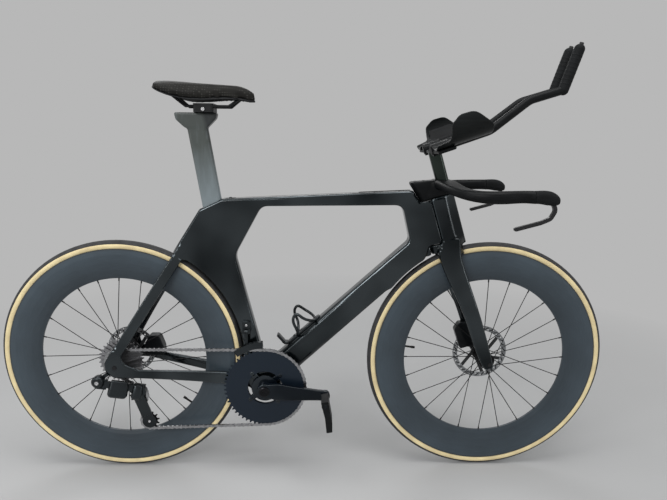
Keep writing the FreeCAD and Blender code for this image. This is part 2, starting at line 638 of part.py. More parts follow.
inner_low = s.inner_width / 2
inner_high = inner_low + s.plate_thickness
outer_low = inner_high + s.plate_gap
outer_high = outer_low + s.plate_thickness
inner_link = joined(chain_plate(inner_low), chain_plate(-inner_high), *link_ends(-inner_high, inner_high,
                                                                                 s.roller_radius))
inner_link = inner_link.cut(link_ends(-outer_high, outer_high, s.pin_radius + s.plate_gap))
outer_link = joined(chain_plate(outer_low), chain_plate(-outer_high), *link_ends(-outer_high, outer_high,
                                                                                 s.pin_radius))
links = []
for number, roller in enumerate(rollers):
    after = rollers[(number + 1) % len(rollers)]
    link = (inner_link if number % 2 else outer_link).copy()
    turn = Rotation(ACROSS, -math.degrees(flat_angle(after - roller)))
    link.Placement = Placement((roller + after) * 0.5 + ACROSS * chain_y, turn)
    links.append(link)
shaped("chain", Part.makeCompound(links))

cogs = []
for number, teeth in enumerate(COG_TEETH):
    at = -(s.rear_spacing / 2 - s.first_cog_inset - number * s.cog_pitch)
    phase = phases[1] if number == CHAIN_COG else 0
    cogs.append(toothed_disc(teeth, phase, s.freehub_radius, at, s.tooth_thickness))
    if number:
        step = s.cog_pitch - s.tooth_thickness
        low = Vector(0, at - s.tooth_thickness / 2 - step, 0)
        sleeve = Part.makeCylinder(s.freehub_radius + s.pin_radius, step, low, ACROSS)
        cogs.append(sleeve.cut(Part.makeCylinder(s.freehub_radius, step, low, ACROSS)))
shaped("cassette", Part.makeCompound(cogs), Placement(rear_axle, Rotation()))
freehub_start = "-(sizes.rear_spacing / 2 - sizes.hub_end_gap)"
freehub_stop = "-(sizes.rear_flange_right + sizes.flange_width + sizes.freehub_gap)"
turned_body("freehub", [(freehub_start, bore), (freehub_start, "sizes.hub_end_radius"),
                        ("%s + sizes.first_cog_inset / 2" % freehub_start, "sizes.hub_end_radius"),
                        ("%s + sizes.first_cog_inset / 2" % freehub_start, "sizes.freehub_radius"),
                        (freehub_stop, "sizes.freehub_radius"), (freehub_stop, bore)],
            Placement(rear_axle, Rotation()))

# Cranks and rings
crank_place = Placement(bb, Rotation())
ring_low = chain_y - s.tooth_thickness / 2
small_y = chain_y + s.ring_step
spider_low = chain_y + s.tooth_thickness / 2
spider_high = small_y - s.tooth_thickness / 2
bolt_ways = []
for number in range(4):
    angle = math.radians(-s.crank_drop_angle + 45 + 90 * number)
    bolt_ways.append(Vector(math.cos(angle), 0, math.sin(angle)))
bolt_holes = [Part.makeCylinder(s.ring_bolt_radius, 4 * s.ring_step,
                                way * (s.bolt_circle / 2) + ACROSS * (chain_y - s.ring_step), ACROSS)
              for way in bolt_ways]
big_ring = toothed_disc(int(s.big_ring_teeth), phases[0], s.ring_inner_radius, chain_y, s.tooth_thickness)
small_ring = toothed_disc(int(s.small_ring_teeth), 0, s.ring_inner_radius, small_y, s.tooth_thickness)
shaped("chainring_large", big_ring.cut(bolt_holes), crank_place)
shaped("chainring_small", small_ring.cut(bolt_holes), crank_place)
ring_bolts = []
for way in bolt_ways:
    foot = way * (s.bolt_circle / 2)
    stop = small_y + s.tooth_thickness / 2
    shank = cylinder(foot + ACROSS * ring_low, foot + ACROSS * stop, s.ring_bolt_radius)
    near_head = cylinder(foot + ACROSS * (ring_low - s.ring_bolt_head_length), foot + ACROSS * ring_low,
                         s.ring_bolt_head_radius)
    far_head = cylinder(foot + ACROSS * stop, foot + ACROSS * (stop + s.ring_bolt_head_length),
                        s.ring_bolt_head_radius)
    ring_bolts.append(joined(shank, near_head, far_head))

crank_way = Rotation(ACROSS, s.crank_drop_angle).multVec(AHEAD)
crank_up = Rotation(ACROSS, s.crank_drop_angle).multVec(UP)
crank_outer = s.crank_inner + s.crank_thickness


def crank_arm(way, up, sense):
    """One tapered crank arm from its boss to its pedal eye; sense is the side it lies on."""
    def station(along, inner, outer, half, round_share):
        centre = way * along + ACROSS * (sense * (inner + outer) / 2)
        return section(centre, ACROSS, up, (outer - inner) / 2, half, (outer - inner) / 2 * round_share)
    root, tip, length = s.crank_root_width / 2, s.crank_tip_width / 2, s.crank_length
    thick = s.crank_thickness
    stations = [station(0, s.crank_inner - thick * 0.5, crank_outer - thick * 0.1, root, 0.5),
                station(length * 0.3, s.crank_inner - thick * 0.1, crank_outer - thick * 0.05,
                        root * 0.78, 0.5), station(length * 0.7, s.crank_inner, crank_outer, tip * 0.95,
                                                   0.5), station(length, s.crank_inner, crank_outer, tip,
                                                                 0.5)]
    arm = Part.makeLoft(stations, True, False)
    near, far = sorted((sense * s.crank_inner, sense * crank_outer))
    eye = cylinder(way * length + ACROSS * near, way * length + ACROSS * far, tip)
    low, high = sorted((sense * s.crank_boss_inner, sense * (crank_outer - thick * 0.1)))
    boss = cylinder(ACROSS * low, ACROSS * high, root)
    return joined(arm, eye, boss)


def pedal_axle(way, sense):
    """The pedal's spindle, screwed into the arm's eye."""
    foot = way * s.crank_length
    return cylinder(foot + ACROSS * (sense * s.crank_inner),
                    foot + ACROSS * (sense * (crank_outer + s.pedal_axle_length)), s.pedal_axle_radius)


spider_arms = []
for way in bolt_ways:
    beside = way.cross(ACROSS) * (s.spider_arm_width / 2)
    tip = way * (s.bolt_circle / 2)
    spots = [beside, tip + beside, tip - beside, beside * -1]
    spots = [spot + ACROSS * spider_low for spot in spots]
    arm = Part.Face(Part.makePolygon(spots + spots[:1])).extrude(Vector(0, spider_high - spider_low, 0))
    end = cylinder(tip + ACROSS * spider_low, tip + ACROSS * spider_high, s.spider_arm_width / 2)
    spider_arms.extend((arm, end))
spider_hub = cylinder(ACROSS * -s.crank_boss_inner, ACROSS * spider_high, s.spider_hub_radius)
spindle = cylinder(ACROSS * -s.crank_inner, ACROSS * (crank_outer - s.crank_thickness * 0.3),
                   s.spindle_radius)
right_crank = joined(crank_arm(crank_way, crank_up, -1), spider_hub, spindle, pedal_axle(crank_way, -1),
                     *spider_arms)
shaped("crank_arm_right", Part.makeCompound([right_crank.cut(bolt_holes)] + ring_bolts), crank_place)
left_crank = joined(crank_arm(crank_way * -1, crank_up, 1), pedal_axle(crank_way * -1, 1)).cut(spindle)
shaped("crank_arm_left", left_crank, crank_place)

pedal_turn = Rotation(ACROSS, -s.pedal_lean_angle)
PEDAL_SHARES = ((-0.5, 0.12, 0.1), (-0.34, -0.45, 0.1), (-0.5, -1.0, 0.1), (0.3, -1.0, 0.1), (0.5, -0.7, 0.1),
                (0.5, 0.12, 0.1))


def pedal(sense):
    """A clip-in pedal hanging from its spindle."""
    thick, drop = s.pedal_thickness, s.pedal_length - s.pedal_ahead
    corners = [(u * thick, v * drop if v < 0 else s.pedal_ahead, radius * thick) for u, v,
               radius in PEDAL_SHARES]
    near, far = sorted((sense * (crank_outer + s.pedal_gap),
                        sense * (crank_outer + s.pedal_gap + s.pedal_width)))
    body = slab(corners, near, far)
    barrel_end = sense * (crank_outer + s.pedal_axle_length - s.pedal_gap)
    barrel = cylinder(ACROSS * (sense * (crank_outer + s.pedal_gap)), ACROSS * barrel_end,
                      s.pedal_thickness / 2)
    hole = cylinder(ACROSS * (sense * crank_outer),
                    ACROSS * (sense * (crank_outer + 2 * s.pedal_axle_length)),
                    s.pedal_axle_radius + s.bearing_gap)
    return joined(body, barrel).cut(hole)


shaped("pedal_right", pedal(-1), Placement(bb + crank_way * s.crank_length, pedal_turn))
shaped("pedal_left", pedal(1), Placement(bb - crank_way * s.crank_length, pedal_turn))

# Rear derailleur
shaped("guide_pulley", toothed_disc(int(s.pulley_teeth), phases[2], s.pulley_axle_radius + s.bearing_gap,
                                    0, s.tooth_thickness), Placement(guide_centre, Rotation()))
shaped("tension_pulley", toothed_disc(int(s.pulley_teeth), phases[3],
                                      s.pulley_axle_radius + s.bearing_gap, 0, s.tooth_thickness),
       Placement(tension_centre, Rotation()))
cage_pivot = Vector(-s.cage_pivot_back, chain_y, s.cage_pivot_height)


def plate_between(first, second, radius, low, high):
    """A flat plate with round ends between two side-view points."""
    way = (second - first).normalize()
    beside = way.cross(ACROSS) * radius
    spots = [Vector(spot.x, low, spot.z) for spot in (first + beside, second + beside, second - beside,
                                                      first - beside)]
    bar = Part.Face(Part.makePolygon(spots + spots[:1])).extrude(Vector(0, high - low, 0))
    ends = [Part.makeCylinder(radius, high - low, Vector(spot.x, low, spot.z), ACROSS) for spot in (first,
                                                                                                    second)]
    return joined(bar, *ends)


cage_outer = chain_y - s.cage_half_gap - s.cage_plate
cage_inner = chain_y + s.cage_half_gap + s.cage_plate
near_plate = plate_between(guide_centre, tension_centre, s.cage_plate_radius, cage_outer,
                           chain_y - s.cage_half_gap)
near_lug = plate_between(guide_centre, cage_pivot, s.cage_plate_radius * 0.8, cage_outer,
                         chain_y - s.cage_half_gap)
far_plate = plate_between(guide_centre, tension_centre, s.cage_plate_radius * 0.7,
                          chain_y + s.cage_half_gap, cage_inner)
cage_axles = [cylinder(Vector(spot.x, cage_outer, spot.z), Vector(spot.x, cage_inner, spot.z),
                       s.pulley_axle_radius) for spot in (guide_centre, tension_centre)]
knuckle_near = cage_outer - s.ear_gap
knuckle_far = knuckle_near - s.knuckle_length
cage_pin = cylinder(Vector(cage_pivot.x, knuckle_far + s.cage_plate, cage_pivot.z),
                    Vector(cage_pivot.x, chain_y - s.cage_half_gap, cage_pivot.z), s.cage_pin_radius)
shaped("derailleur_cage", joined(near_plate, near_lug, far_plate, cage_pin, *cage_axles))

b_pivot = Vector(-s.b_pivot_back, -s.b_pivot_side, s.b_pivot_height)
link_turn = Rotation(ACROSS, s.link_pitch_angle)
link_turn = link_turn.multiply(Rotation(AHEAD, -s.link_tilt_angle))
link_turn = link_turn.multiply(Rotation(UP, s.link_yaw_angle))
link_way = link_turn.multVec(AHEAD)
link_axis = link_turn.multVec(UP)
p_pivot = b_pivot + link_way * s.link_length


def flat_bar(first, second, axis, radius, low, high):
    """A bar with round ends between two pivots, square to their shared axis."""
    way = (second - first).normalize()
    beside = way.cross(axis).normalize() * radius
    spots = [spot + axis * low for spot in (first + beside, second + beside, second - beside, first - beside)]
    bar = Part.Face(Part.makePolygon(spots + spots[:1])).extrude(axis * (high - low))
    ends = [Part.makeCylinder(radius, high - low, spot + axis * low, axis) for spot in (first, second)]
    return joined(bar, *ends)


tall = s.link_half_height
ear_low = tall + s.ear_gap
ear_high = ear_low + s.ear_thickness
link_bar = flat_bar(b_pivot, p_pivot, link_axis, s.link_end_radius, -tall, tall)
link_holes = [cylinder(spot - link_axis * ear_high, spot + link_axis * ear_high,
                       s.link_pin_radius + s.bearing_gap) for spot in (b_pivot, p_pivot)]
link_side = link_axis.cross(link_way)
housing_middle = b_pivot + link_way * (s.housing_start + s.housing_length / 2)
housing_outline = section(housing_middle - link_side * (s.housing_out / 2) - link_axis
                          * s.housing_half_height, link_way, link_side, s.housing_length / 2,
                          s.link_end_radius + s.housing_out / 2, s.housing_round)
housing = Part.Face(housing_outline).extrude(link_axis * (2 * s.housing_half_height))
housing = housing.makeFillet(s.housing_round / 2, housing.Edges)
shaped("derailleur_link", joined(link_bar, housing).cut(link_holes))


def clevis(pivot, anchor):
    """Two ears and their pin round one end of the link, reaching back to an anchor point."""
    flat = anchor - link_axis * (anchor - pivot).dot(link_axis)
    ears = [flat_bar(pivot, flat, link_axis, s.link_end_radius, low, low + s.ear_thickness)
            for low in (ear_low, -ear_high)]
    pin = cylinder(pivot - link_axis * ear_high, pivot + link_axis * ear_high, s.link_pin_radius)
    return ears + [pin]


b_bolt = Vector(-s.b_bolt_back, -s.rear_spacing / 2 - s.dropout_width / 2, s.b_bolt_height)
b_anchor = b_pivot - link_way * (2.2 * s.link_end_radius + s.ear_gap)
b_block = Part.makeCylinder(s.link_end_radius, 2 * ear_high, b_anchor - link_axis * ear_high, link_axis)
b_body = cylinder(Vector(b_bolt.x, -s.b_pivot_side - s.b_bolt_radius, b_bolt.z),
                  Vector(b_bolt.x, -stay_outer, b_bolt.z), s.b_bolt_radius)
link_room = flat_bar(b_pivot, p_pivot, link_axis, s.link_end_radius + s.ear_gap, -tall - s.ear_gap,
                     tall + s.ear_gap)
b_swing = []
for angle in range(-24, 13, 4):
    room = link_room.copy()
    room.rotate(b_pivot, link_axis, angle)
    b_swing.append(room)
b_pin = clevis(b_pivot, b_anchor)[2]
b_knuckle = joined(b_block, b_body, *clevis(b_pivot, b_anchor)[:2]).cut(b_swing)
derailleur_mount = joined(b_knuckle, b_pin)
shaped("derailleur_mount", derailleur_mount)
p_body = cylinder(Vector(cage_pivot.x, knuckle_far, cage_pivot.z), Vector(cage_pivot.x, knuckle_near,
                                                                          cage_pivot.z), s.knuckle_radius)
p_anchor = Vector(cage_pivot.x, (knuckle_far + knuckle_near) / 2, cage_pivot.z)
p_swing = []
for angle in range(-12, 25, 4):
    room = link_room.copy()
    room.rotate(p_pivot, link_axis, angle)
    p_swing.append(room)
p_pin = clevis(p_pivot, p_anchor)[2]
p_knuckle = joined(p_body, *clevis(p_pivot, p_anchor)[:2]).cut(p_swing)
p_hole = cylinder(Vector(cage_pivot.x, knuckle_far + s.cage_plate - s.ear_gap, cage_pivot.z),
                  Vector(cage_pivot.x, knuckle_near + s.ear_gap, cage_pivot.z),
                  s.cage_pin_radius + s.bearing_gap)
shaped("derailleur_knuckle", joined(p_knuckle, p_pin).cut(p_hole))


# Main frame
FRAME_TOP_SHARES = ((-3.62, 6.48, 0), (-2.85, 7.66, 0), (-2.24, 7.945, 0))
FRAME_LOWER_SHARES = ((3.36, 6.45, 0), (2.95, 5.75, 0), (2.26, 5.41, 0), (-0.13, 3.19, 0), (-0.8, 2.5, 0),
                      (-1.13, 2.26, 0), (-1.5, 2.4, 0), (-2.2, 3.0, 0), (-3.5, 5.6, 0), (-3.66, 6.4, 0))
OPENING_SHARES = ((-1.13, 3.22, 0.12), (-1.92, 6.4, 0.4), (-1.18, 7.74, 0.25), (2.62, 7.8, 0.22),
                  (2.85, 6.84, 0.15))
PLAN_SHARES = (4.0, -3.8)
DOWN_TUBE_SHARES = ((2.3, 5.887, 0.21), (0.6, 4.336, 0.26), (-0.98, 2.895, 0.3))
SEAT_TUBE_SHARES = ((-1.76, 4.8, 0.15), (-1.5, 3.8, 0.21), (-1.35, 3.0, 0.275))


def steer_spot(ahead, along):
    """Side-view corner at a distance ahead of the steering axis and a height along it."""
    spot = steering.multVec(Vector(ahead, 0, along))
    return (spot.x, spot.z, 0)


def steer_bar(radius, low, high, ahead=0):
    """A cylinder along the steering axis."""
    return Part.makeCylinder(radius, high - low, steering.multVec(Vector(ahead, 0, low)), steer_up)


def wheel_room(axle, extra, half):
    """The space a turning wheel needs."""
    return Part.makeCylinder(s.tyre_radius + extra, 2 * half, axle - ACROSS * half, ACROSS)


cone_rise = s.drawing_unit * 0.37
cone_top = steer_spot(-(s.head_cone_radius + s.cone_slope_share * cone_rise), s.head_top + cone_rise)
head_corners = [cone_top, steer_spot(-s.head_cone_radius, s.head_top), steer_spot(0, s.head_top),
                steer_spot(0, s.head_bottom), steer_spot(-s.head_nose_radius - s.run_gap, s.head_bottom)]
frame_corners = drawn(FRAME_TOP_SHARES) + head_corners + drawn(FRAME_LOWER_SHARES)
wide = 2 * s.frame_head_half
core = slab(frame_corners, -wide, wide).cut(slab(drawn(OPENING_SHARES), -wide, wide))
plan_front, plan_back = (share * s.drawing_unit for share in PLAN_SHARES)
plan_corners = ((plan_front, -s.frame_head_half, 0), (plan_front, s.frame_head_half, 0),
                (plan_back, s.frame_tail_half, 0), (plan_back, -s.frame_tail_half, 0))
plan = prism(plan_corners, lambda u, v: Vector(u, v, 0), UP * (3 * s.tyre_radius))
core = core.common(plan)
core = core.cut([wheel_room(axle, s.tyre_clearance, wide) for axle in (front_axle, rear_axle)])
core = core.makeFillet(s.frame_edge_radius, side_edges(core))


def swelling(shares, half_depth, radius):
    """A tube's fuller part, lofted through (x, z, half width) stations."""
    spots = [Vector(x, 0, z) * s.drawing_unit for x, z, half in shares]
    way = (spots[-1] - spots[0]).normalize()
    over = way.cross(ACROSS)
    wires = [section(spot, ACROSS, over, half * s.drawing_unit, half_depth, radius)
             for spot, (x, z, half) in zip(spots, shares)]
    return Part.makeLoft(wires, True, False)


bb_shell = cylinder(bb - ACROSS * s.bb_shell_half, bb + ACROSS * s.bb_shell_half, s.bb_shell_radius)
head_nose = steer_bar(s.head_nose_radius, s.head_bottom, s.head_top)
frame_block = joined(core, swelling(DOWN_TUBE_SHARES, s.down_tube_half_depth, s.down_tube_round),
                     swelling(SEAT_TUBE_SHARES, s.seat_tube_half_depth, s.seat_tube_round), bb_shell,
                     head_nose)
frame_block = frame_block.cut([wheel_room(axle, s.tyre_clearance, wide) for axle in (front_axle, rear_axle)])

post_up = Vector(-math.cos(math.radians(s.post_angle)), 0, math.sin(math.radians(s.post_angle)))
post_ahead = Vector(post_up.z, 0, -post_up.x)


def post_spot(level):
    """Centre of the seatpost at a height above the ground."""
    return Vector(-s.post_back, 0, s.post_level) + post_up * ((level - s.post_level) / post_up.z)


def post_prism(low, high, extra):
    """The seatpost's section drawn out between two heights, with extra room all round."""
    outline = section(post_spot(low), post_ahead, ACROSS, s.post_chord / 2 + extra, s.post_width / 2 + extra,
                      s.post_nose_radius + extra)
    return Part.Face(outline).extrude(post_spot(high) - post_spot(low))


opening_foot = Vector(OPENING_SHARES[0][0], 0, OPENING_SHARES[0][1]) * s.drawing_unit
opening_knee = Vector(OPENING_SHARES[1][0], 0, OPENING_SHARES[1][1]) * s.drawing_unit
boss_way = (opening_knee - opening_foot).normalize()
boss_out = Vector(boss_way.z, 0, -boss_way.x)
boss_centre = opening_foot + boss_way * ((s.boss_height - opening_foot.z) / boss_way.z)
bosses = []
for sign in (-0.5, 0.5):
    mouth = boss_centre + boss_way * (sign * s.boss_spacing)
    bosses.append(cylinder(mouth - boss_out * s.boss_depth, mouth + boss_out * s.boss_depth, s.boss_radius))

top_back = Vector(FRAME_TOP_SHARES[2][0], 0, FRAME_TOP_SHARES[2][1]) * s.drawing_unit
top_front = Vector(cone_top[0], 0, cone_top[1])
top_way = (top_front - top_back).normalize()
top_out = Vector(-top_way.z, 0, top_way.x)


def top_slab(start, length, low, high, half, radius):
    """A rounded block let into or set on the top tube, from a distance ahead of the seatpost."""
    foot = top_back + top_way * start + top_out * low
    outline = section(foot + top_way * (length / 2), top_way, ACROSS, length / 2, half, radius)
    return Part.Face(outline).extrude(top_out * (high - low))


wedge_start = s.wedge_half
wedge_room = top_slab(wedge_start, s.wedge_length, -s.wedge_depth, s.wedge_depth, s.wedge_half,
                      s.wedge_half / 2)
cage_way = (Vector(OPENING_SHARES[4][0], 0, OPENING_SHARES[4][1]) * s.drawing_unit - opening_foot).normalize()
cage_out = Vector(-cage_way.z, 0, cage_way.x)
cage_centre = opening_foot + cage_way * (s.drawing_unit * 1.47)
cage_bolt_spots = [cage_centre + cage_way * (sign * s.boss_spacing) for sign in (-0.5, 0.5)]
cage_bolt_rooms = [cylinder(spot - cage_out * s.cage_bolt_depth, spot + cage_out * s.cage_bolt_depth,
                            s.cage_bolt_radius) for spot in cage_bolt_spots]
frame_cuts = [steer_bar(s.steerer_radius + s.steerer_room, s.head_bottom - s.head_nose_radius,
                        s.head_top + s.head_nose_radius), steer_bar(s.bearing_outer_radius,
                                                                    s.head_bottom - s.head_nose_radius,
                                                                    s.head_bottom + s.bearing_height),
              steer_bar(s.bearing_outer_radius, s.head_top - s.bearing_height,
                        s.head_top + s.head_nose_radius), cylinder(bb - ACROSS * wide, bb + ACROSS * wide,
                                                                   s.bb_bearing_radius),
              post_prism(s.post_well, s.post_level, s.slide_gap), wedge_room] + bosses + cage_bolt_rooms
frame_cuts.append(steer_bar(s.head_nose_radius + s.run_gap, s.crown_bottom - s.head_nose_radius,
                            s.head_bottom))
shaped("main_frame", frame_block.cut(frame_cuts))


def steer_ring(low):
    """One bearing ring round the steering axis."""
    outer = steer_bar(s.bearing_outer_radius, low, low + s.bearing_height)
    return outer.cut(steer_bar(s.steerer_radius + s.bearing_gap, low, low + s.bearing_height))


shaped("headset_bearings",
       Part.makeCompound([steer_ring(s.head_bottom), steer_ring(s.head_top - s.bearing_height)]))
cups = []
for sign in (-1, 1):
    inner = bb + ACROSS * (sign * (s.bb_shell_half - s.bb_bearing_width))
    face = bb + ACROSS * (sign * s.bb_shell_half)
    lip = face + ACROSS * (sign * s.cage_plate)
    cup = joined(cylinder(inner, face, s.bb_bearing_radius),
                 cylinder(face, lip, s.bb_bearing_radius + s.cage_plate))
    cups.append(cup.cut(cylinder(inner - ACROSS * (sign * s.bb_bearing_width),
                                 lip + ACROSS * (sign * s.bb_bearing_width),
                                 s.spindle_radius + s.bearing_gap)))
shaped("bottom_bracket", Part.makeCompound(cups))
wedge = top_slab(wedge_start, s.wedge_length, -s.wedge_depth, 0, s.wedge_half, s.wedge_half / 2)
bolt_foot = top_back + top_way * (wedge_start + s.wedge_length / 2)
wedge_bolt = cylinder(bolt_foot, bolt_foot + top_out * s.wedge_bolt_height, s.wedge_bolt_radius)
shaped("seatpost_clamp", joined(wedge, wedge_bolt))

# Rear stays
SEAT_STAY_SHARES = ((-3.28, 6.66, 0.13), (-3.62, 6.12, 0.245), (-4.15, 5.3, 0.37), (-4.72, 4.4, 0.55),
                    (-5.17, 3.66, 0.76))
CHAIN_STAY_SHARES = ((-1.42, 2.72, 0.22, 0.18, 0.075), (-2.05, 2.84, 0.262, 0.185, 0.07),
                     (-3.0, 2.98, 0.41, 0.16, 0.07), (-4.0, 3.11, 0.6, 0.135, 0.065),
                     (-4.8, 3.2, 0.755, 0.12, 0.055))
DROPOUT_SHARES = ((-5.42, 3.27, 0.1), (-5.44, 3.52, 0.1), (-5.2, 3.92, 0.08), (-4.97, 3.8, 0.08),
                  (-4.95, 3.5, 0.2), (-4.6, 3.36, 0.08), (-4.6, 3.08, 0.08), (-5.2, 3.08, 0.14))
stay_spots = [Vector(x, -y, z) * s.drawing_unit for x, z, y in SEAT_STAY_SHARES]
stay_way = Vector(stay_spots[-1].x - stay_spots[0].x, 0, stay_spots[-1].z - stay_spots[0].z).normalize()
stay_over = stay_way.cross(ACROSS)
stay_wires = [section(spot, ACROSS, stay_over, s.stay_thickness / 2, s.stay_depth / 2, s.stay_round)
              for spot in stay_spots]
seat_stay = Part.makeLoft(stay_wires, True, False)
chain_wires = []
for x, z, y, half_depth, half_thick in CHAIN_STAY_SHARES:
    spot = Vector(x, -y, z) * s.drawing_unit
    chain_wires.append(section(spot, ACROSS, UP, half_thick * s.drawing_unit, half_depth * s.drawing_unit,
                               s.chain_stay_round))
chain_stay = Part.makeLoft(chain_wires, True, False)
dropout = slab(drawn(DROPOUT_SHARES), -stay_outer, -s.rear_spacing / 2)
axle_room = cylinder(rear_axle - ACROSS * (2 * stay_outer), rear_axle + ACROSS * (2 * stay_outer),
                     s.axle_radius)
stay_right = joined(seat_stay, chain_stay, dropout).cut([frame_block, axle_room])
shaped("rear_stay_right", stay_right)
stay_left = mirrored(stay_right)
shaped("rear_stay_left", stay_left)
hanger_root = rear_axle + Vector(-s.b_bolt_radius, 0, -s.b_bolt_radius)
hanger = plate_between(hanger_root, b_bolt, s.b_bolt_radius * 0.9, -stay_outer,
                       -stay_outer + s.hanger_thickness)
shaped("derailleur_hanger", hanger.cut([stay_right, axle_room, derailleur_mount] + b_swing))

# Brakes
REAR_CALIPER_SHARES = ((-4.74, 3.24, 0.04), (-4.74, 3.58, 0.1), (-4.6, 3.86, 0.08), (-4.3, 3.86, 0.12),
                       (-4.18, 3.5, 0.06), (-4.18, 3.24, 0.04))
FRONT_CALIPER_SHARES = ((-0.1, 0.28, 0.04), (-0.12, 0.92, 0.1), (0.06, 1.08, 0.08), (0.3, 1.04, 0.06),
                        (0.3, 0.28, 0.04))


def rotor_room(axle, at, radius):
    """The slot a rotor turns in."""
    half = s.caliper_slot / 2
    return cylinder(axle + ACROSS * (at - half), axle + ACROSS * (at + half), radius + s.caliper_rotor_gap)


rear_block = slab(drawn(REAR_CALIPER_SHARES), rear_rotor_y - s.caliper_width / 2,
                  rear_rotor_y + s.caliper_width / 2)
rear_block = rear_block.makeFillet(s.caliper_round / 2, side_edges(rear_block))
shaped("rear_caliper", rear_block.cut([rotor_room(rear_axle, rear_rotor_y, s.rear_rotor_radius), stay_left]))

# Front derailleur
hinge = Vector(-s.fd_hinge_back, chain_y + s.fd_half_gap + s.fd_pin_radius, s.fd_hinge_height)
fd_low = pitch_radius(int(s.big_ring_teeth)) + s.tooth_rise + s.fd_ring_gap
fd_high = fd_low + s.fd_plate_depth


def ring_sector(low, high, start, stop, from_y, to_y):
    """Part of a flat ring round the bottom bracket between two angles."""
    sweep = Part.makeCylinder(high, to_y - from_y, Vector(0, from_y, 0), ACROSS)
    sweep = sweep.cut(Part.makeCylinder(low, to_y - from_y, Vector(0, from_y, 0), ACROSS))
    spots = [Vector(0, from_y, 0)]
    for angle in (start, (start + stop) / 2, stop):
        way = Vector(math.cos(math.radians(angle)), 0, math.sin(math.radians(angle)))
        spots.append(way * (2 * high) + ACROSS * from_y)
    pie = Part.Face(Part.makePolygon(spots + spots[:1])).extrude(Vector(0, to_y - from_y, 0))
    part = sweep.common(pie)
    part.translate(bb)
    return part


fd_far = chain_y + s.fd_half_gap
fd_near = chain_y - s.fd_half_gap
far_side = ring_sector(fd_low, fd_high, s.fd_start_angle, s.fd_end_angle, fd_far, fd_far + s.fd_plate)
near_side = ring_sector(fd_low, fd_high, s.fd_start_angle, s.fd_end_angle, fd_near - s.fd_plate, fd_near)
fd_span = (fd_near - s.fd_plate, fd_far + s.fd_plate)
fd_top = ring_sector(fd_high - 2 * s.fd_plate, fd_high, s.fd_start_angle + 2, s.fd_start_angle + 20, *fd_span)
fd_tail = ring_sector(fd_low, fd_low + 2 * s.fd_plate, s.fd_end_angle - 3, s.fd_end_angle, *fd_span)
arm_half = s.fd_arm_width / 2
arm_low = bb.z + fd_low + s.fd_plate_depth / 3
fd_arm = Part.makeBox(s.fd_arm_width, 2 * s.fd_pin_radius, hinge.z - arm_low, Vector(hinge.x - arm_half,
                                                                                     fd_far, arm_low))
fd_eye = cylinder(hinge - AHEAD * arm_half, hinge + AHEAD * arm_half, s.fd_ear)
fd_hole = cylinder(hinge - AHEAD * s.fd_body_length, hinge + AHEAD * s.fd_body_length,
                   s.fd_pin_radius + s.bearing_gap)
shaped("front_derailleur_cage", joined(far_side, near_side, fd_top, fd_tail, fd_arm, fd_eye).cut(fd_hole))
ears = []
ear_wide = s.fd_body_length / 2 - arm_half - s.ear_gap
for start in (hinge.x - s.fd_body_length / 2, hinge.x + arm_half + s.ear_gap):
    ears.append(Part.makeBox(ear_wide, -s.frame_tail_half / 2 - hinge.y + s.fd_ear, 2 * s.fd_ear,
                             Vector(start, hinge.y - s.fd_ear, hinge.z - s.fd_ear)))
back_y = hinge.y + s.fd_ear + s.cage_plate
fd_back = Part.makeBox(s.fd_body_length, -s.frame_tail_half / 2 - back_y, s.fd_body_height,
                       Vector(hinge.x - s.fd_body_length / 2, back_y, hinge.z - s.fd_ear))
fd_pin = cylinder(hinge - AHEAD * (s.fd_body_length / 2), hinge + AHEAD * (s.fd_body_length / 2),
                  s.fd_pin_radius)
shaped("front_derailleur_body", joined(fd_back, fd_pin, *ears).cut(frame_block))

# Bottle cage
base_outline = section(cage_centre, cage_way, ACROSS, s.cage_base_length / 2, s.cage_base_width / 2,
                       s.cage_base_width * 0.3)
cage_base = Part.Face(base_outline).extrude(cage_out * s.cage_base_thickness)
bottle_reach = s.bottle_radius + s.cage_rod_radius
bottle_mid = cage_centre + cage_out * (s.cage_base_thickness / 2 + bottle_reach)
CAGE_ROD_SHARES = ((-0.62, 9), (-0.45, 30), (-0.12, 66), (0.3, 108), (0.62, 112), (0.8, 88), (1.05, 48),
                   (1.16, 9))


def cage_rod(sense):
    """One wrapped rod of the bottle cage, on a cylinder round the bottle."""
    spots = []
    for along, angle in CAGE_ROD_SHARES:
        around = math.radians(angle)
        spots.append(bottle_mid + cage_way * (along * s.bottle_radius)
                     + (cage_out * -math.cos(around) + ACROSS * (sense * math.sin(around))) * bottle_reach)
    curve = Part.BSplineCurve()
    curve.interpolate(spots)
    return swept([curve.toShape()], s.cage_rod_radius)


CAGE_STOP_SHARES = ((-0.5, 0.02), (-0.56, 0.08), (-0.55, 0.34))
stop_path = []
for along, out in CAGE_STOP_SHARES:
    spot = cage_centre + cage_way * (along * s.cage_base_length) + cage_out * (out * s.cage_base_length)
    stop_path.append((spot.x, spot.z))
cage_stop = slab(ribbon(stop_path, s.cage_base_thickness / 2, s.cage_base_thickness),
                 -s.cage_base_width / 2, s.cage_base_width / 2)
cage_whole = joined(cage_base, cage_rod(-1), cage_rod(1), cage_stop)
cage_whole = cage_whole.cut(cage_bolt_rooms + [frame_block])
cage_bolts = []
for spot in cage_bolt_spots:
    face = spot + cage_out * s.cage_base_thickness
    shank = cylinder(spot - cage_out * s.cage_bolt_depth, face, s.cage_bolt_radius)
    cage_bolts.append(joined(shank, cylinder(face, face + cage_out * s.cage_bolt_rise, s.cage_bolt_head)))
shaped("bottle_cage", Part.makeCompound([cage_whole] + cage_bolts))

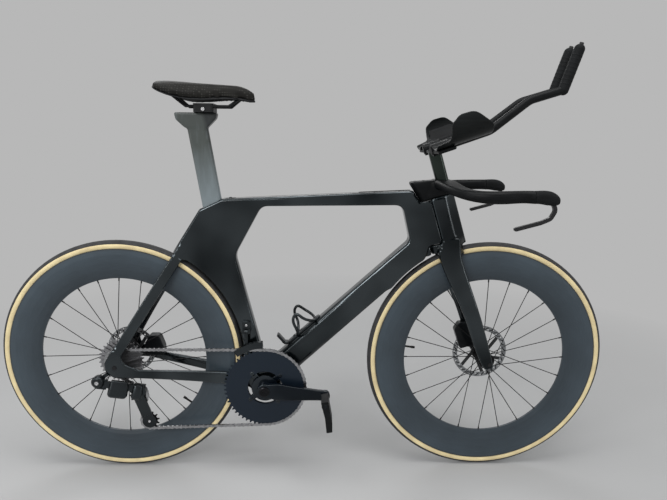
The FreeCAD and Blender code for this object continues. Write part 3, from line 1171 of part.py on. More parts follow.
# Seatpost and saddle
HEAD_SHARES = ((-3.41, 10.17, 0.04), (-3.37, 9.99, 0.08), (-3.12, 9.76, 0.2), (-2.56, 9.78, 0.15),
               (-2.32, 10.02, 0.08), (-2.28, 10.17, 0.04))
post_head = slab(drawn(HEAD_SHARES), -s.post_head_half, s.post_head_half)
post_head = post_head.makeFillet(s.post_head_round / 2, side_edges(post_head))
shaped("seatpost", joined(post_prism(s.post_well + s.post_reserve, s.post_top, 0), post_head))
SADDLE_SHARES = ((-3.84, 0.36, 10.86, 10.91, 0.06, 10.79), (-3.72, 0.6, 10.8, 10.935, 0.09, 10.74),
                 (-3.35, 0.69, 10.68, 10.935, 0.12, 10.72), (-2.95, 0.54, 10.6, 10.91, 0.12, 10.7),
                 (-2.45, 0.34, 10.6, 10.88, 0.12, 10.67), (-1.9, 0.25, 10.63, 10.85, 0.12, 10.64),
                 (-1.5, 0.215, 10.63, 10.81, 0.12, 10.6), (-1.31, 0.14, 10.65, 10.76, 0.09, 10.59))


def saddle_wire(shares, drop, thickness):
    """One cross section of the saddle; a thickness makes it the shell under the cover."""
    x, half, edge, top, side, under = [share * s.drawing_unit for share in shares]
    if thickness:
        top = under - drop
        edge = edge - side - drop
        under = top - thickness
        side = thickness
    corners = [Vector(x, -half, edge), Vector(x, 0, top), Vector(x, half, edge),
               Vector(x, half, edge - side), Vector(x, 0, under), Vector(x, -half, edge - side)]
    edges = [Part.Arc(*corners[:3]).toShape(), Part.LineSegment(corners[2], corners[3]).toShape(),
             Part.Arc(*corners[3:]).toShape(), Part.LineSegment(corners[5], corners[0]).toShape()]
    return Part.Wire(edges)


saddle_cover = Part.makeLoft([saddle_wire(shares, 0, 0) for shares in SADDLE_SHARES], True, False)
saddle_shell = Part.makeLoft([saddle_wire(shares, s.hair_gap, s.shell_thickness)
                              for shares in SADDLE_SHARES], True, False)
shaped("saddle_cover", saddle_cover)
shaped("saddle_shell", saddle_shell)
RAIL_SHARES = ((-1.58, 0.08, 10.6), (-1.96, 0.22, 10.32), (-3.06, 0.22, 10.32), (-3.55, 0.34, 10.72))
rails = []
for sense in (-1, 1):
    spots = [Vector(x, sense * y, z) * s.drawing_unit for x, y, z in RAIL_SHARES]
    bars = [cylinder(first, second, s.rail_radius) for first, second in zip(spots, spots[1:])]
    balls = [Part.makeSphere(s.rail_radius, spot) for spot in spots[1:-1]]
    rail = joined(bars[0], *(bars[1:] + balls)).cut([saddle_shell, saddle_cover])
    rails.append(max(rail.Solids, key=lambda solid: solid.Volume))
shaped("saddle_rails", Part.makeCompound(rails))
head_level = HEAD_SHARES[0][1] * s.drawing_unit
clamp_size = (s.clamp_back - s.clamp_front, 2 * s.clamp_half, s.rail_height + 2 * s.rail_radius - head_level)
clamp_block = Part.makeBox(*clamp_size, Vector(-s.clamp_back, -s.clamp_half, head_level))
upright = [edge for edge in clamp_block.Edges if abs(edge.tangentAt(edge.FirstParameter).z) > 0.5]
clamp_block = clamp_block.makeFillet(s.clamp_round, upright)
clamp_bolt_at = Vector(-(s.clamp_back + s.clamp_front) / 2, 0, (head_level + s.rail_height) / 2)
clamp_bolt = cylinder(clamp_bolt_at - ACROSS * (s.clamp_bolt_length / 2),
                      clamp_bolt_at + ACROSS * (s.clamp_bolt_length / 2), s.clamp_bolt_radius)
clamp_block = clamp_block.cut(rails + [clamp_bolt])
shaped("saddle_clamp", Part.makeCompound([clamp_block, clamp_bolt]))

# Fork
CROWN_SHARES = ((-0.02, -0.24, 0), (0.12, -0.4, 0.1), (0.46, -0.39, 0.14), (0.7, -0.13, 0.1),
                (0.7, 0.13, 0.1), (0.46, 0.39, 0.14), (0.12, 0.4, 0.1), (-0.02, 0.24, 0))
FAIRING_SHARES = ((0.12, -0.27, 0), (0.45, -0.235, 0.4), (0.775, -0.07, 0.06), (0.775, 0.07, 0.06),
                  (0.45, 0.235, 0.4), (0.12, 0.27, 0))
BLADE_SHARES = ((3.52, 0.22, 0.27, 0.29, 0.1), (2.6, 0.235, 0.375, 0.27, 0.08), (1.25, 0.35, 0.475, 0.215,
                                                                                 0.065),
                (0.2, 0.375, 0.545, 0.175, 0.055), (-0.14, 0.41, 0.55, 0.13, 0.05))


def steer_plan(shares, low, high):
    """An outline square to the steering axis made solid between two heights along it."""
    shape = prism(drawn(shares), lambda u, v: Vector(u, v, low), UP * (high - low))
    shape.Placement = steering
    return shape


blade_wires = []
for along, ahead, out, half_chord, half_thick in BLADE_SHARES:
    spot = Vector(ahead, -out, along) * s.drawing_unit
    blade_wires.append(section(spot, AHEAD, ACROSS, half_chord * s.drawing_unit, half_thick * s.drawing_unit,
                               half_thick * s.drawing_unit * 0.9))
blade = Part.makeLoft(blade_wires, True, False)
blade.Placement = steering
fork_block = joined(steer_plan(CROWN_SHARES, s.crown_bottom, s.crown_top),
                    steer_bar(s.head_nose_radius, s.crown_bottom, s.crown_top), blade, mirrored(blade),
                    steer_bar(s.steerer_radius, s.crown_bottom, s.stem_bottom))
fairing = steer_plan(FAIRING_SHARES, s.fairing_bottom, s.stem_bottom)
fairing = fairing.cut(steer_bar(s.head_nose_radius + s.fairing_inner_gap, s.crown_top, s.stem_top))
fork_tyre = wheel_room(front_axle, s.tyre_clearance, s.tyre_width / 2 + s.tyre_side_clearance)
front_axle_room = cylinder(front_axle - ACROSS * (2 * fork_outer), front_axle + ACROSS * (2 * fork_outer),
                           s.axle_radius)
hub_room = cylinder(front_axle - ACROSS * (s.front_spacing / 2), front_axle + ACROSS * (s.front_spacing / 2),
                    s.rotor_carrier_radius + s.run_gap)
cap_face = front_axle + ACROSS * fork_outer
cap_room = cylinder(cap_face, cap_face + ACROSS * s.axle_head_length, s.axle_head_radius)
fork_shape = joined(fork_block, fairing).cut([fork_tyre, front_axle_room, hub_room, cap_room])
shaped("fork", fork_shape)
front_block = slab(drawn(FRONT_CALIPER_SHARES), front_rotor_y - s.front_caliper_inset,
                   front_rotor_y + s.caliper_width / 2)
front_block = front_block.makeFillet(s.caliper_round / 2, side_edges(front_block))
front_block.Placement = steering
shaped("front_caliper", front_block.cut([rotor_room(front_axle, front_rotor_y, s.front_rotor_radius),
                                         fork_shape]))

# Stem and base bar
STEM_SHARES = ((-0.33, 5.52, 0.06), (0.38, 5.36, 0.25), (0.83, 5.22, 0.08), (0.87, 5.06, 0.08))
stem_corners = [(-s.stem_cone_radius, s.stem_bottom, 0)] + drawn(STEM_SHARES)
stem_corners.append((FAIRING_SHARES[2][0] * s.drawing_unit, s.stem_bottom, 0))
stem_block = slab(stem_corners, -s.stem_half, s.stem_half)
stem_block = stem_block.makeFillet(s.stem_edge_radius, side_edges(stem_block))
stem_rise = s.stem_top - s.stem_bottom
stem_cone = Part.makeCone(s.stem_cone_radius, s.stem_cone_radius + s.cone_slope_share * stem_rise, stem_rise,
                          Vector(0, 0, s.stem_bottom), UP)
stem_front = Part.makeBox(s.drawing_unit, 2 * s.drawing_unit, stem_rise,
                          Vector(s.stem_wide_from, -s.drawing_unit, s.stem_bottom))
stem_block = stem_block.common(stem_cone.fuse(stem_front))


def riser_prism(low, high, extra):
    """The riser's section drawn out along the steering axis."""
    outline = section(Vector(s.riser_ahead, 0, low), AHEAD, ACROSS, s.riser_chord / 2 + extra,
                      s.riser_width / 2 + extra, s.riser_round + extra)
    return Part.Face(outline).extrude(UP * (high - low))


stem_shape = stem_block.cut(riser_prism(s.riser_well, s.stem_top, s.riser_play))
stem_shape.Placement = steering
shaped("stem", stem_shape)
BAR_SHARES = ((3.72, 0.15, 8.37, 0, 0.29, 0.12), (3.76, 0.7, 8.35, 3, 0.265, 0.11),
              (3.87, 1.25, 8.28, 14, 0.235, 0.11), (4.09, 1.65, 8.225, 38, 0.2, 0.13),
              (4.4, 1.85, 8.205, 72, 0.165, 0.15), (4.78, 1.9, 8.21, 88, 0.155, 0.155),
              (5.46, 1.9, 8.22, 90, 0.155, 0.155))
bar_wires = []
for x, y, z, yaw, half_chord, half_thick in BAR_SHARES:
    turn = math.radians(yaw)
    chord_way = Vector(math.cos(turn), math.sin(turn), 0)
    smaller = min(half_chord, half_thick) * s.drawing_unit
    bar_wires.append(section(Vector(x, -y, z) * s.drawing_unit, chord_way, UP, half_chord * s.drawing_unit,
                             half_thick * s.drawing_unit, smaller * 0.9))
bar_right = Part.makeLoft(bar_wires, True, False)
stem_whole = stem_block.copy()
stem_whole.Placement = steering
bar_right = bar_right.cut(stem_whole)
bar_right = max(bar_right.Solids, key=lambda solid: solid.Volume)
shaped("base_bar", Part.makeCompound([bar_right, mirrored(bar_right)]))

# Brake levers
HOOD_SHARES = ((5.46, 8.22, 0.155, 0.155), (5.75, 8.21, 0.15, 0.17), (5.96, 8.17, 0.135, 0.145),
               (6.06, 8.14, 0.09, 0.08))
LEVER_SHARES = ((5.9, 8.12), (6.0, 7.92), (5.89, 7.71), (5.66, 7.61), (5.04, 7.44))
lever_pivot = Vector(LEVER_SHARES[0][0], 0, LEVER_SHARES[0][1]) * s.drawing_unit
hood_wires = []
for x, z, half_wide, half_tall in HOOD_SHARES:
    hood_wires.append(section(Vector(x, 0, z) * s.drawing_unit, ACROSS, UP, half_wide * s.drawing_unit,
                              half_tall * s.drawing_unit, min(half_wide, half_tall) * s.drawing_unit
                              * 0.9))
hood = Part.makeLoft(hood_wires, True, False)
slot_half = s.lever_width / 2 + s.lever_slot_gap
slot_top = lever_pivot.z + s.lever_head_radius + s.lever_slot_gap
slot_back = lever_pivot.x - s.lever_head_radius - 4 * s.lever_slot_gap
hood = hood.cut(Part.makeBox(s.drawing_unit, 2 * slot_half, s.drawing_unit, Vector(slot_back, -slot_half,
                                                                                   slot_top
                                                                                   - s.drawing_unit)))
pin_half = HOOD_SHARES[2][2] * s.drawing_unit
lever_pin = cylinder(lever_pivot - ACROSS * pin_half, lever_pivot + ACROSS * pin_half, s.lever_pin_radius)
hood = joined(hood, lever_pin)
lever_path = [(x * s.drawing_unit, z * s.drawing_unit) for x, z in LEVER_SHARES]
lever = slab(ribbon(lever_path, s.lever_half, s.lever_bend), -s.lever_width / 2, s.lever_width / 2)
lever_head = cylinder(lever_pivot - ACROSS * (s.lever_width / 2),
                      lever_pivot + ACROSS * (s.lever_width / 2), s.lever_head_radius)
lever = joined(lever, lever_head)
lever = lever.cut(cylinder(lever_pivot - ACROSS * s.lever_width, lever_pivot + ACROSS * s.lever_width,
                           s.lever_pin_radius + s.bearing_gap))
hoods = []
for name, sense in (("right", -1), ("left", 1)):
    place = Placement(ACROSS * (sense * s.bar_half_width), Rotation())
    placed = hood.copy()
    placed.Placement = place
    hoods.append(placed)
    shaped("brake_lever_" + name, lever, place)
shaped("brake_hoods", Part.makeCompound(hoods))

# Armrests and extensions
riser_root = steering.multVec(Vector(s.riser_ahead, 0, s.stem_top))
riser_up = steering.Rotation.multVec(UP)
riser_reach = riser_up * ((s.arm_height - riser_root.z) / riser_up.z)
arm_origin = riser_root + riser_reach + AHEAD * s.arm_ahead
arm_place = Placement(arm_origin, Rotation(ACROSS, -s.arm_slope_angle))


def trough(inner, outer, from_angle, to_angle, length, start):
    """A curved trough along X, between two angles from its lowest line."""
    spots = []
    for radius, angles in ((inner, (from_angle, (from_angle + to_angle) / 2, to_angle)),
                           (outer, (to_angle, (from_angle + to_angle) / 2, from_angle))):
        for angle in angles:
            turn = math.radians(angle)
            spots.append(Vector(start, radius * math.sin(turn), s.cup_radius - radius * math.cos(turn)))
    edges = [Part.Arc(*spots[:3]).toShape(), Part.LineSegment(spots[2], spots[3]).toShape(),
             Part.Arc(*spots[3:]).toShape(), Part.LineSegment(spots[5], spots[0]).toShape()]
    return Part.Face(Part.Wire(edges)).extrude(AHEAD * length)


CUP_SHARES = ((-0.5, -0.1, 0), (-0.5, 0.06, 0.03), (-0.25, 0.09, 0.06), (-0.19, 0.35, 0.1),
              (-0.02, 0.46, 0.16), (0.24, 0.45, 0.2), (0.5, 0.14, 0.1), (0.5, -0.1, 0))
cup_corners = [tuple(value * s.cup_length for value in corner) for corner in CUP_SHARES]
cup = trough(s.cup_radius, s.cup_radius + s.cup_wall, -s.cup_inner_angle, s.cup_outer_angle, s.cup_length,
             -s.cup_length / 2)
cup = cup.common(slab(cup_corners, -2 * s.cup_radius, 2 * s.cup_radius))
pad = trough(s.cup_radius - s.pad_thickness, s.cup_radius - s.hair_gap, -s.pad_inner_angle,
             s.pad_outer_angle, s.pad_length, -s.pad_length / 2)
pad = pad.common(slab([(u * s.pad_length / s.cup_length, v, r) for u, v, r in cup_corners],
                      -2 * s.cup_radius, 2 * s.cup_radius))
cup_drop = Vector(0, s.cup_side, -s.cup_wall - s.ear_gap - s.cage_plate)


def both_arms(shape):
    """A left piece of the armrests and its mirror image, in the row frame."""
    left = shape.copy()
    left.Placement = arm_place.multiply(Placement(cup_drop, Rotation()))
    return [left, mirrored(left)]


cups_pair = both_arms(cup)
shaped("armrest_pads", Part.makeCompound(both_arms(pad)))
bridge_at = -s.cup_length * 0.32
bridge_high = cup_drop.z - s.cup_wall
EXTENSION_SHARES = ((0.9, 0.216), (1.89, 0.99), (2.75, 1.255))
rear_local = Vector(-s.cup_length / 2, 0, cup_drop.z - s.cup_wall)
rear_spot = arm_place.multVec(rear_local)
extension_xz = [(rear_spot.x, rear_spot.z)]
for x, z in EXTENSION_SHARES:
    extension_xz.append((arm_origin.x + x * s.drawing_unit, arm_origin.z + z * s.drawing_unit))
reach_x = extension_xz[-1][0] - extension_xz[0][0]
extension_spots = []
for x, z in extension_xz:
    share = (x - extension_xz[0][0]) / reach_x
    out = s.extension_rear_side + (s.extension_tip_side - s.extension_rear_side) * share
    extension_spots.append(Vector(x, out, z))
extension = swept(bent_line(extension_spots, s.extension_bend), s.extension_radius)
grip_way = Vector(math.cos(math.radians(s.grip_angle)), 0, math.sin(math.radians(s.grip_angle)))
grip_foot = extension_spots[-1]
grip_top = grip_foot + grip_way * s.grip_length
grip = joined(cylinder(grip_foot, grip_top, s.grip_radius), Part.makeSphere(s.grip_radius, grip_foot),
              Part.makeSphere(s.grip_radius, grip_top))
apex = grip_top + grip_way * s.grip_radius
button_foot = apex + grip_way * (s.button_rise - s.button_length)
button = cylinder(button_foot, apex + grip_way * s.button_rise, s.button_radius)
button_room = cylinder(button_foot - grip_way * (s.button_travel + s.button_gap),
                       apex + grip_way * s.button_rise, s.button_radius + s.button_gap)
extension = extension.cut(grip)
extension = max(extension.Solids, key=lambda solid: solid.Volume)
grip = grip.cut(button_room)
shaped("extension_grips", Part.makeCompound([mirrored(grip), grip]))
shaped("shift_button_left", button)
shaped("shift_button_right", mirrored(button))
extensions = [mirrored(extension), extension]
shaped("extensions", Part.makeCompound(extensions))
bridge = Part.makeBox(s.bridge_length, 2 * s.bridge_half, s.bridge_thickness,
                      Vector(bridge_at - s.bridge_length / 2, -s.bridge_half,
                             bridge_high - s.bridge_thickness))
bridge = bridge.makeFillet(s.bridge_round, bridge.Edges)
sleeves = []
for sense in (-1, 1):
    middle = Vector(bridge_at, sense * s.extension_rear_side, cup_drop.z - s.cup_wall)
    sleeves.append(cylinder(middle - AHEAD * (s.bridge_length / 2),
                            middle + AHEAD * (s.bridge_length / 2), s.clamp_sleeve_radius))
bridge = joined(bridge, *sleeves)
bridge.Placement = arm_place
bridge = bridge.cut(extensions + cups_pair)
shaped("aerobar_bridge", bridge)
shaped("armrest_cups", Part.makeCompound(cups_pair))
riser_top = steering.inverse().multVec(arm_place.multVec(Vector(bridge_at, 0, bridge_high))).z
riser = riser_prism(s.riser_well + s.riser_floor_gap, riser_top, 0)
riser.Placement = steering
riser = riser.cut(bridge)
shaped("riser_post", max(riser.Solids, key=lambda solid: solid.Volume))

# Checks and export
doc.recompute()
for item in doc.Objects:
    if "Invalid" in item.State or "Error" in item.State:
        raise RuntimeError("%s did not recompute" % item.Label)
for item in NODES:
    if item.Shape.isNull() or not item.Shape.isValid():
        raise RuntimeError("%s has no valid shape" % item.Label)
os.makedirs("parts", exist_ok=True)
for item in NODES:
    item.Shape.exportStep("parts/%s.step" % item.Label)
print("%d sub-parts, %d chain links" % (len(NODES), len(rollers)))
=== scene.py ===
"""Studio scene of a time trial bike: finishes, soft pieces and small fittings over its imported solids."""
import logging
import math
from collections.abc import Callable, Sequence
from dataclasses import dataclass
from enum import Enum

import bmesh
import bpy
import numpy as np
from mathutils import Matrix, Vector
from mathutils.bvhtree import BVHTree


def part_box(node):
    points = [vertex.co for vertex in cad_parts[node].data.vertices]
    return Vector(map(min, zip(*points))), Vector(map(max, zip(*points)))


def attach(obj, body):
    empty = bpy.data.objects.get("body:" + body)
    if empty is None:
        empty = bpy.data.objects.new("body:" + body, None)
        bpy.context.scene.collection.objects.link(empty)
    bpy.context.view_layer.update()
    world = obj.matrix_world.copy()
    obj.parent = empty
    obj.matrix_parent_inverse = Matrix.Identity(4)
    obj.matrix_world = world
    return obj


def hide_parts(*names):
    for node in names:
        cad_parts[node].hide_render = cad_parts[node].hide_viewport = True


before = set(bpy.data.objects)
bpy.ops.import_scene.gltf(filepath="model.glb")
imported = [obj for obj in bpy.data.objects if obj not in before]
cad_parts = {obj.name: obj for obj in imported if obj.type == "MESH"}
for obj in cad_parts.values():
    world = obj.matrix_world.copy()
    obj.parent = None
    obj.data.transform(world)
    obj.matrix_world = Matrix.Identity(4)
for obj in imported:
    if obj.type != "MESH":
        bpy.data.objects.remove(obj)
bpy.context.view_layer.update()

LOG = logging.getLogger("bike")

Colour = tuple[float, float, float]
Point = tuple[float, float, float]
Span = tuple[float, float]
Outline = Sequence[Span]
Socket = bpy.types.NodeSocket
Feed = Socket | float | Sequence[float]
Material = bpy.types.Material
Piece = bpy.types.Object
Shaping = Callable[[np.ndarray], np.ndarray]

ACROSS = Vector((0, 1, 0))
DOWN = Vector((0, 0, -1))
# Where a noise is usually read as dark and as light
TONES_AT = (0.3, 0.7)
# Points nearer than this are one point, in copies of solids and along the seam of a turned form
DOUBLED = 0.00001
SEAM = 0.000002
# Places of the colours among a mixing node's inputs and outputs
MIX_FIRST = 6
MIX_SECOND = 7
MIX_RESULT = 2


class Axle(Enum):
    """The shafts that round patterns are centred on, as (x, z) in metres."""

    FRONT = (0.516, 0.339)
    REAR = (-0.516, 0.339)
    CRANK = (-0.113, 0.264)
    GUIDE = (-0.468, 0.243)
    TENSION = (-0.4411819, 0.164452)


class Nodes:
    """A node tree with short calls for adding and feeding nodes."""

    def __init__(self, tree: bpy.types.NodeTree) -> None:
        """Take a tree.

        Args:
            tree: The tree.
        """
        self.tree = tree

    def feed(self, socket: Socket, value: Feed) -> None:
        """Link an input to an output, or set it to a constant.

        Args:
            socket: The input.
            value: The output or the constant.
        """
        if isinstance(value, Socket):
            self.tree.links.new(value, socket)
        else:
            socket.default_value = value

    def add(self, kind: str, inputs: dict[str | int, Feed] | None = None, **values: object) -> bpy.types.Node:
        """Add a node.

        Args:
            kind: The node's type name.
            inputs: What feeds its inputs, by name or place.
            values: Attributes to set on it.

        Returns:
            The new node.
        """
        node = self.tree.nodes.new(kind)
        for key, value in values.items():
            setattr(node, key, value)
        for key, value in (inputs or {}).items():
            self.feed(node.inputs[key], value)
        return node


class Shader(Nodes):
    """The nodes round one Principled shader, with short calls for what finishes use."""

    def __init__(self, name: str) -> None:
        """Start a material.

        Args:
            name: The material's name.
        """
        self.material = bpy.data.materials.new(name)
        self.material.use_nodes = True
        super().__init__(self.material.node_tree)
        self.surface = self.tree.nodes["Principled BSDF"]
        self.coordinates = self.add("ShaderNodeTexCoord").outputs["Object"]

    def fix(self, **values: Feed) -> None:
        """Feed the shader's own inputs.

        Args:
            values: Input names, with underscores for spaces, and what feeds them.
        """
        for key, value in values.items():
            self.feed(self.surface.inputs[key.replace("_", " ")], value)

    def placed(self, centre: Point = (0, 0, 0), scale: Point = (1, 1, 1), turn: Point = (0, 0, 0)) -> Socket:
        """Object coordinates moved, turned and stretched.

        Args:
            centre: The point that becomes the pattern's origin, in metres.
            scale: Stretch along each axis.
            turn: Euler angles in radians.

        Returns:
            A vector socket.
        """
        stretch = [1 / value for value in scale]
        inputs = {"Vector": self.coordinates, "Location": centre, "Rotation": turn, "Scale": stretch}
        return self.add("ShaderNodeMapping", inputs, vector_type="TEXTURE").outputs["Vector"]

    def noise(self, scale: float, detail: float = 3, vector: Socket | None = None,
              dimensions: str = "3D") -> Socket:
        """A soft noise between 0 and 1.

        Args:
            scale: Pattern repeats per metre.
            detail: Number of finer layers.
            vector: Coordinates, or None for the plain ones.
            dimensions: How many of them count.

        Returns:
            A value socket.
        """
        place = "W" if dimensions == "1D" else "Vector"
        inputs = {"Scale": scale, "Detail": detail, place: vector or self.coordinates}
        return self.add("ShaderNodeTexNoise", inputs, noise_dimensions=dimensions).outputs["Fac"]

    def cells(self, scale: float, scatter: float = 1.0) -> Socket:
        """Distance to the nearest of many points.

        Args:
            scale: Points per metre.
            scatter: 0 for points in rows, 1 for scattered ones.

        Returns:
            A value socket.
        """
        inputs = {"Vector": self.coordinates, "Scale": scale, "Randomness": scatter}
        return self.add("ShaderNodeTexVoronoi", inputs).outputs["Distance"]

    def sum(self, operation: str, first: Socket | float, second: Socket | float = 0.0) -> Socket:
        """One arithmetic step.

        Args:
            operation: The Math node's operation.
            first: A socket or a number.
            second: A socket or a number.

        Returns:
            A value socket.
        """
        return self.add("ShaderNodeMath", {0: first, 1: second}, operation=operation).outputs[0]

    def split(self, vector: Socket | None = None) -> list[Socket]:
        """Take a vector apart.

        Args:
            vector: Coordinates, or None for the plain ones.

        Returns:
            Its X, Y and Z.
        """
        return list(self.add("ShaderNodeSeparateXYZ", {0: vector or self.coordinates}).outputs)

    def polar(self, axle: Axle) -> tuple[Socket, Socket]:
        """Measure how far from a shaft and how far round it a point is.

        Args:
            axle: The shaft.

        Returns:
            A distance in metres and an angle in radians.
        """
        x, _, z = self.split(self.placed((axle.value[0], 0, axle.value[1])))
        square = self.sum("ADD", self.sum("MULTIPLY", x, x), self.sum("MULTIPLY", z, z))
        return self.sum("SQRT", square), self.sum("ARCTAN2", z, x)

    def wave(self, first: Socket, second: Socket, repeats: Span) -> Socket:
        """A sine that runs across two values.

        Args:
            first: A value.
            second: Another value.
            repeats: Radians of the wave for one unit of each.

        Returns:
            A value socket between -1 and 1.
        """
        sweep = [self.sum("MULTIPLY", value, count) for value, count in zip((first, second), repeats)]
        return self.sum("SINE", self.sum("ADD", *sweep))

    def tones(self, value: Socket, colour: Colour, dark: float, light: float, at: Span = TONES_AT) -> Socket:
        """Let a colour waver between two tones.

        Args:
            value: The value that picks the tone.
            colour: The colour.
            dark: Factor on it at the low end.
            light: Factor on it at the high end.
            at: The low and the high end.

        Returns:
            A colour socket.
        """
        node = self.add("ShaderNodeValToRGB", {"Fac": value})
        for point, place, amount in zip(node.color_ramp.elements, at, (dark, light)):
            point.position = place
            point.color = (*shade(colour, amount), 1)
        return node.outputs["Color"]

    def level(self, value: Socket, span: Span, to: Span = (0, 1)) -> Socket:
        """Map a value from one span to another, held at the ends.

        Args:
            value: The value.
            span: Start and end of its span.
            to: What they become.

        Returns:
            A value socket.
        """
        inputs = {"Value": value, "From Min": span[0], "From Max": span[1], "To Min": to[0], "To Max": to[1]}
        return self.add("ShaderNodeMapRange", inputs).outputs["Result"]

    def blend(self, factor: Socket, first: Socket | Colour, second: Socket | Colour) -> Socket:
        """Mix two colours.

        Args:
            factor: Share of the second, from 0 to 1.
            first: A colour or a colour socket.
            second: A colour or a colour socket.

        Returns:
            A colour socket.
        """
        inputs = {"Factor": factor}
        for place, value in ((MIX_FIRST, first), (MIX_SECOND, second)):
            inputs[place] = value if isinstance(value, Socket) else (*value, 1)
        return self.add("ShaderNodeMix", inputs, data_type="RGBA").outputs[MIX_RESULT]

    def rough(self, value: Socket, low: float, high: float) -> None:
        """Drive the roughness.

        Args:
            value: A value between 0 and 1.
            low: Roughness at 0.
            high: Roughness at 1.
        """
        self.fix(Roughness=self.level(value, (0, 1), (low, high)))

    def bump(self, height: Socket, distance: float, strength: float = 1.0) -> None:
        """Raise the surface by a height pattern.

        Args:
            height: A value between 0 and 1.
            distance: What 1 means, in metres.
            strength: How much of it shows.
        """
        node = self.add("ShaderNodeBump", {"Height": height, "Distance": distance, "Strength": strength})
        self.fix(Normal=node.outputs["Normal"])


def shade(colour: Colour, amount: float) -> Colour:
    """Make a colour lighter or darker.

    Args:
        colour: The colour.
        amount: Factor on each channel.

    Returns:
        The new colour.
    """
    return tuple(min(value * amount, 1.0) for value in colour)


class Finish:
    """What all finishes share: they lay nodes on a shader of their own name."""

    name: str

    def build(self) -> Material:
        """Make the material.

        Returns:
            The material.
        """
        shader = Shader(self.name)
        self.lay(shader)
        return shader.material

    def lay(self, shader: Shader) -> None:
        """Lay the nodes.

        Args:
            shader: The shader to fill.
        """
        raise NotImplementedError


@dataclass(frozen=True)
class GlossPaint(Finish):
    """Clear-coated paint with a fine fleck, soft clouds and, where asked, a painted highlight that lightens
    rounded edges.
    """

    name: str
    colour: Colour
    roughness: float = 0.12
    smoother: float = 0.04
    rougher: float = 0.06
    smear_scale: float = 30.0
    specular: float = 0.42
    tint: Colour = (0.8, 0.93, 1.0)
    coat: float = 0.18
    coat_roughness: float = 0.06
    # Strength, colour and pointiness span of the painted highlight along rounded edges
    wear_and_highlight: float = 0.0
    edge_highlight_colour: Colour = (0.17, 0.21, 0.23)
    edge_highlight_at: Span = (0.52, 0.58)
    cloud_scale: float = 7.0
    fleck: Colour = (0.02, 0.03, 0.036)
    fleck_scale: float = 2600.0
    fleck_at: Span = (0.1, 0.26)
    fleck_share: float = 0.45
    swell_scale: float = 5.0
    swell_height: float = 0.03
    patch_scale: float = 4.5
    patch_at: Span = (0.38, 0.64)
    patch_gloss: Span = (0.35, 2.0)

    def lay(self, shader: Shader) -> None:
        """Lay the nodes.

        Args:
            shader: The shader to fill.
        """
        base = shader.tones(shader.noise(self.cloud_scale, 4), self.colour, 0.75, 1.3)
        fleck = shader.level(shader.cells(self.fleck_scale), self.fleck_at, (self.fleck_share, 0))
        base = shader.blend(fleck, base, self.fleck)
        # Painted highlight: edges picked out by pointiness are lightened towards a pale colour
        if self.wear_and_highlight:
            point = shader.add("ShaderNodeNewGeometry").outputs["Pointiness"]
            base = shader.blend(shader.level(point, self.edge_highlight_at, (0, self.wear_and_highlight)), base, self.edge_highlight_colour)
        shader.fix(Base_Color=base)
        smear = shader.noise(self.smear_scale, 3)
        shader.rough(smear, self.roughness - self.smoother, self.roughness + self.rougher)
        shader.bump(shader.noise(self.swell_scale, 1), self.swell_height, 0.6)
        gloss = (self.specular * self.patch_gloss[0], self.specular * self.patch_gloss[1])
        patch = shader.level(shader.noise(self.patch_scale, 2), self.patch_at, gloss)
        shader.fix(Specular_IOR_Level=patch, Specular_Tint=(*self.tint, 1))
        shader.fix(Coat_Weight=self.coat, Coat_Roughness=self.coat_roughness)


@dataclass(frozen=True)
class Moulding(Finish):
    """Moulded carbon or plastic with a faint drawn grain and a fine texture."""

    name: str
    colour: Colour
    roughness: float = 0.5
    smoother: float = 0.08
    rougher: float = 0.1
    grain: Point = (18, 220, 220)
    grain_at: Span = (0.3, 0.72)
    contrast: float = 0.3
    texture: float = 900.0
    depth: float = 0.00012
    specular: float = 0.18

    def lay(self, shader: Shader) -> None:
        """Lay the nodes.

        Args:
            shader: The shader to fill.
        """
        streak = shader.noise(1, 4, shader.placed(scale=self.grain))
        base = shader.tones(streak, self.colour, 1 - self.contrast, 1 + self.contrast, self.grain_at)
        shader.fix(Base_Color=base)
        shader.rough(streak, self.roughness - self.smoother, self.roughness + self.rougher)
        shader.bump(shader.noise(self.texture, 2), self.depth, 0.35)
        shader.fix(Specular_IOR_Level=self.specular)


@dataclass(frozen=True)
class PostSatin(Finish):
    """Satin carbon with a painted reflection that pales it towards its lower end, cloudy streaks and a
    painted shade along its leading edge.
    """

    name: str
    # Dark top colour, and the paler colour of the painted reflection towards the foot
    upper: Colour = (0.075, 0.085, 0.08)
    lower_reflection: Colour = (0.2, 0.235, 0.25)
    foot: Point = (-0.235, 0.0, 0.80)
    lean: float = math.radians(13.0)
    fade: Span = (0, 0.14)
    ragged: float = 0.025
    streaks: Point = (70, 70, 14)
    pale_at: Span = (0.55, 0.75)
    pale_share: float = 0.25
    # Colour, span and strength of the painted shade along the leading edge
    edge: Colour = (0.02, 0.022, 0.023)
    shade_edge_at: Span = (0.012, 0.024)
    shade_edge_share: float = 0.85
    sheen: Span = (0.24, 0.36)
    texture: float = 900.0
    depth: float = 0.0001
    specular: float = 0.3

    def lay(self, shader: Shader) -> None:
        """Lay the nodes.

        Args:
            shader: The shader to fill.
        """
        # Painted reflection: the colour pales from the top down to the foot, with a ragged border
        ahead, _, height = shader.split(shader.placed(self.foot, turn=(0, -self.lean, 0)))
        streak = shader.noise(1, 4, shader.placed(scale=self.streaks))
        rise = shader.sum("ADD", height, shader.level(streak, TONES_AT, (-self.ragged, self.ragged)))
        base = shader.blend(shader.level(rise, self.fade), self.lower_reflection, self.upper)
        pale = shader.level(streak, self.pale_at, (0, self.pale_share))
        base = shader.blend(pale, base, shade(self.lower_reflection, 1.3))
        # Painted shade darkening the leading edge
        edge_shade = shader.level(ahead, self.shade_edge_at, (0, self.shade_edge_share))
        shader.fix(Base_Color=shader.blend(edge_shade, base, self.edge))
        shader.rough(streak, *self.sheen)
        shader.bump(shader.noise(self.texture, 2), self.depth, 0.3)
        shader.fix(Specular_IOR_Level=self.specular)


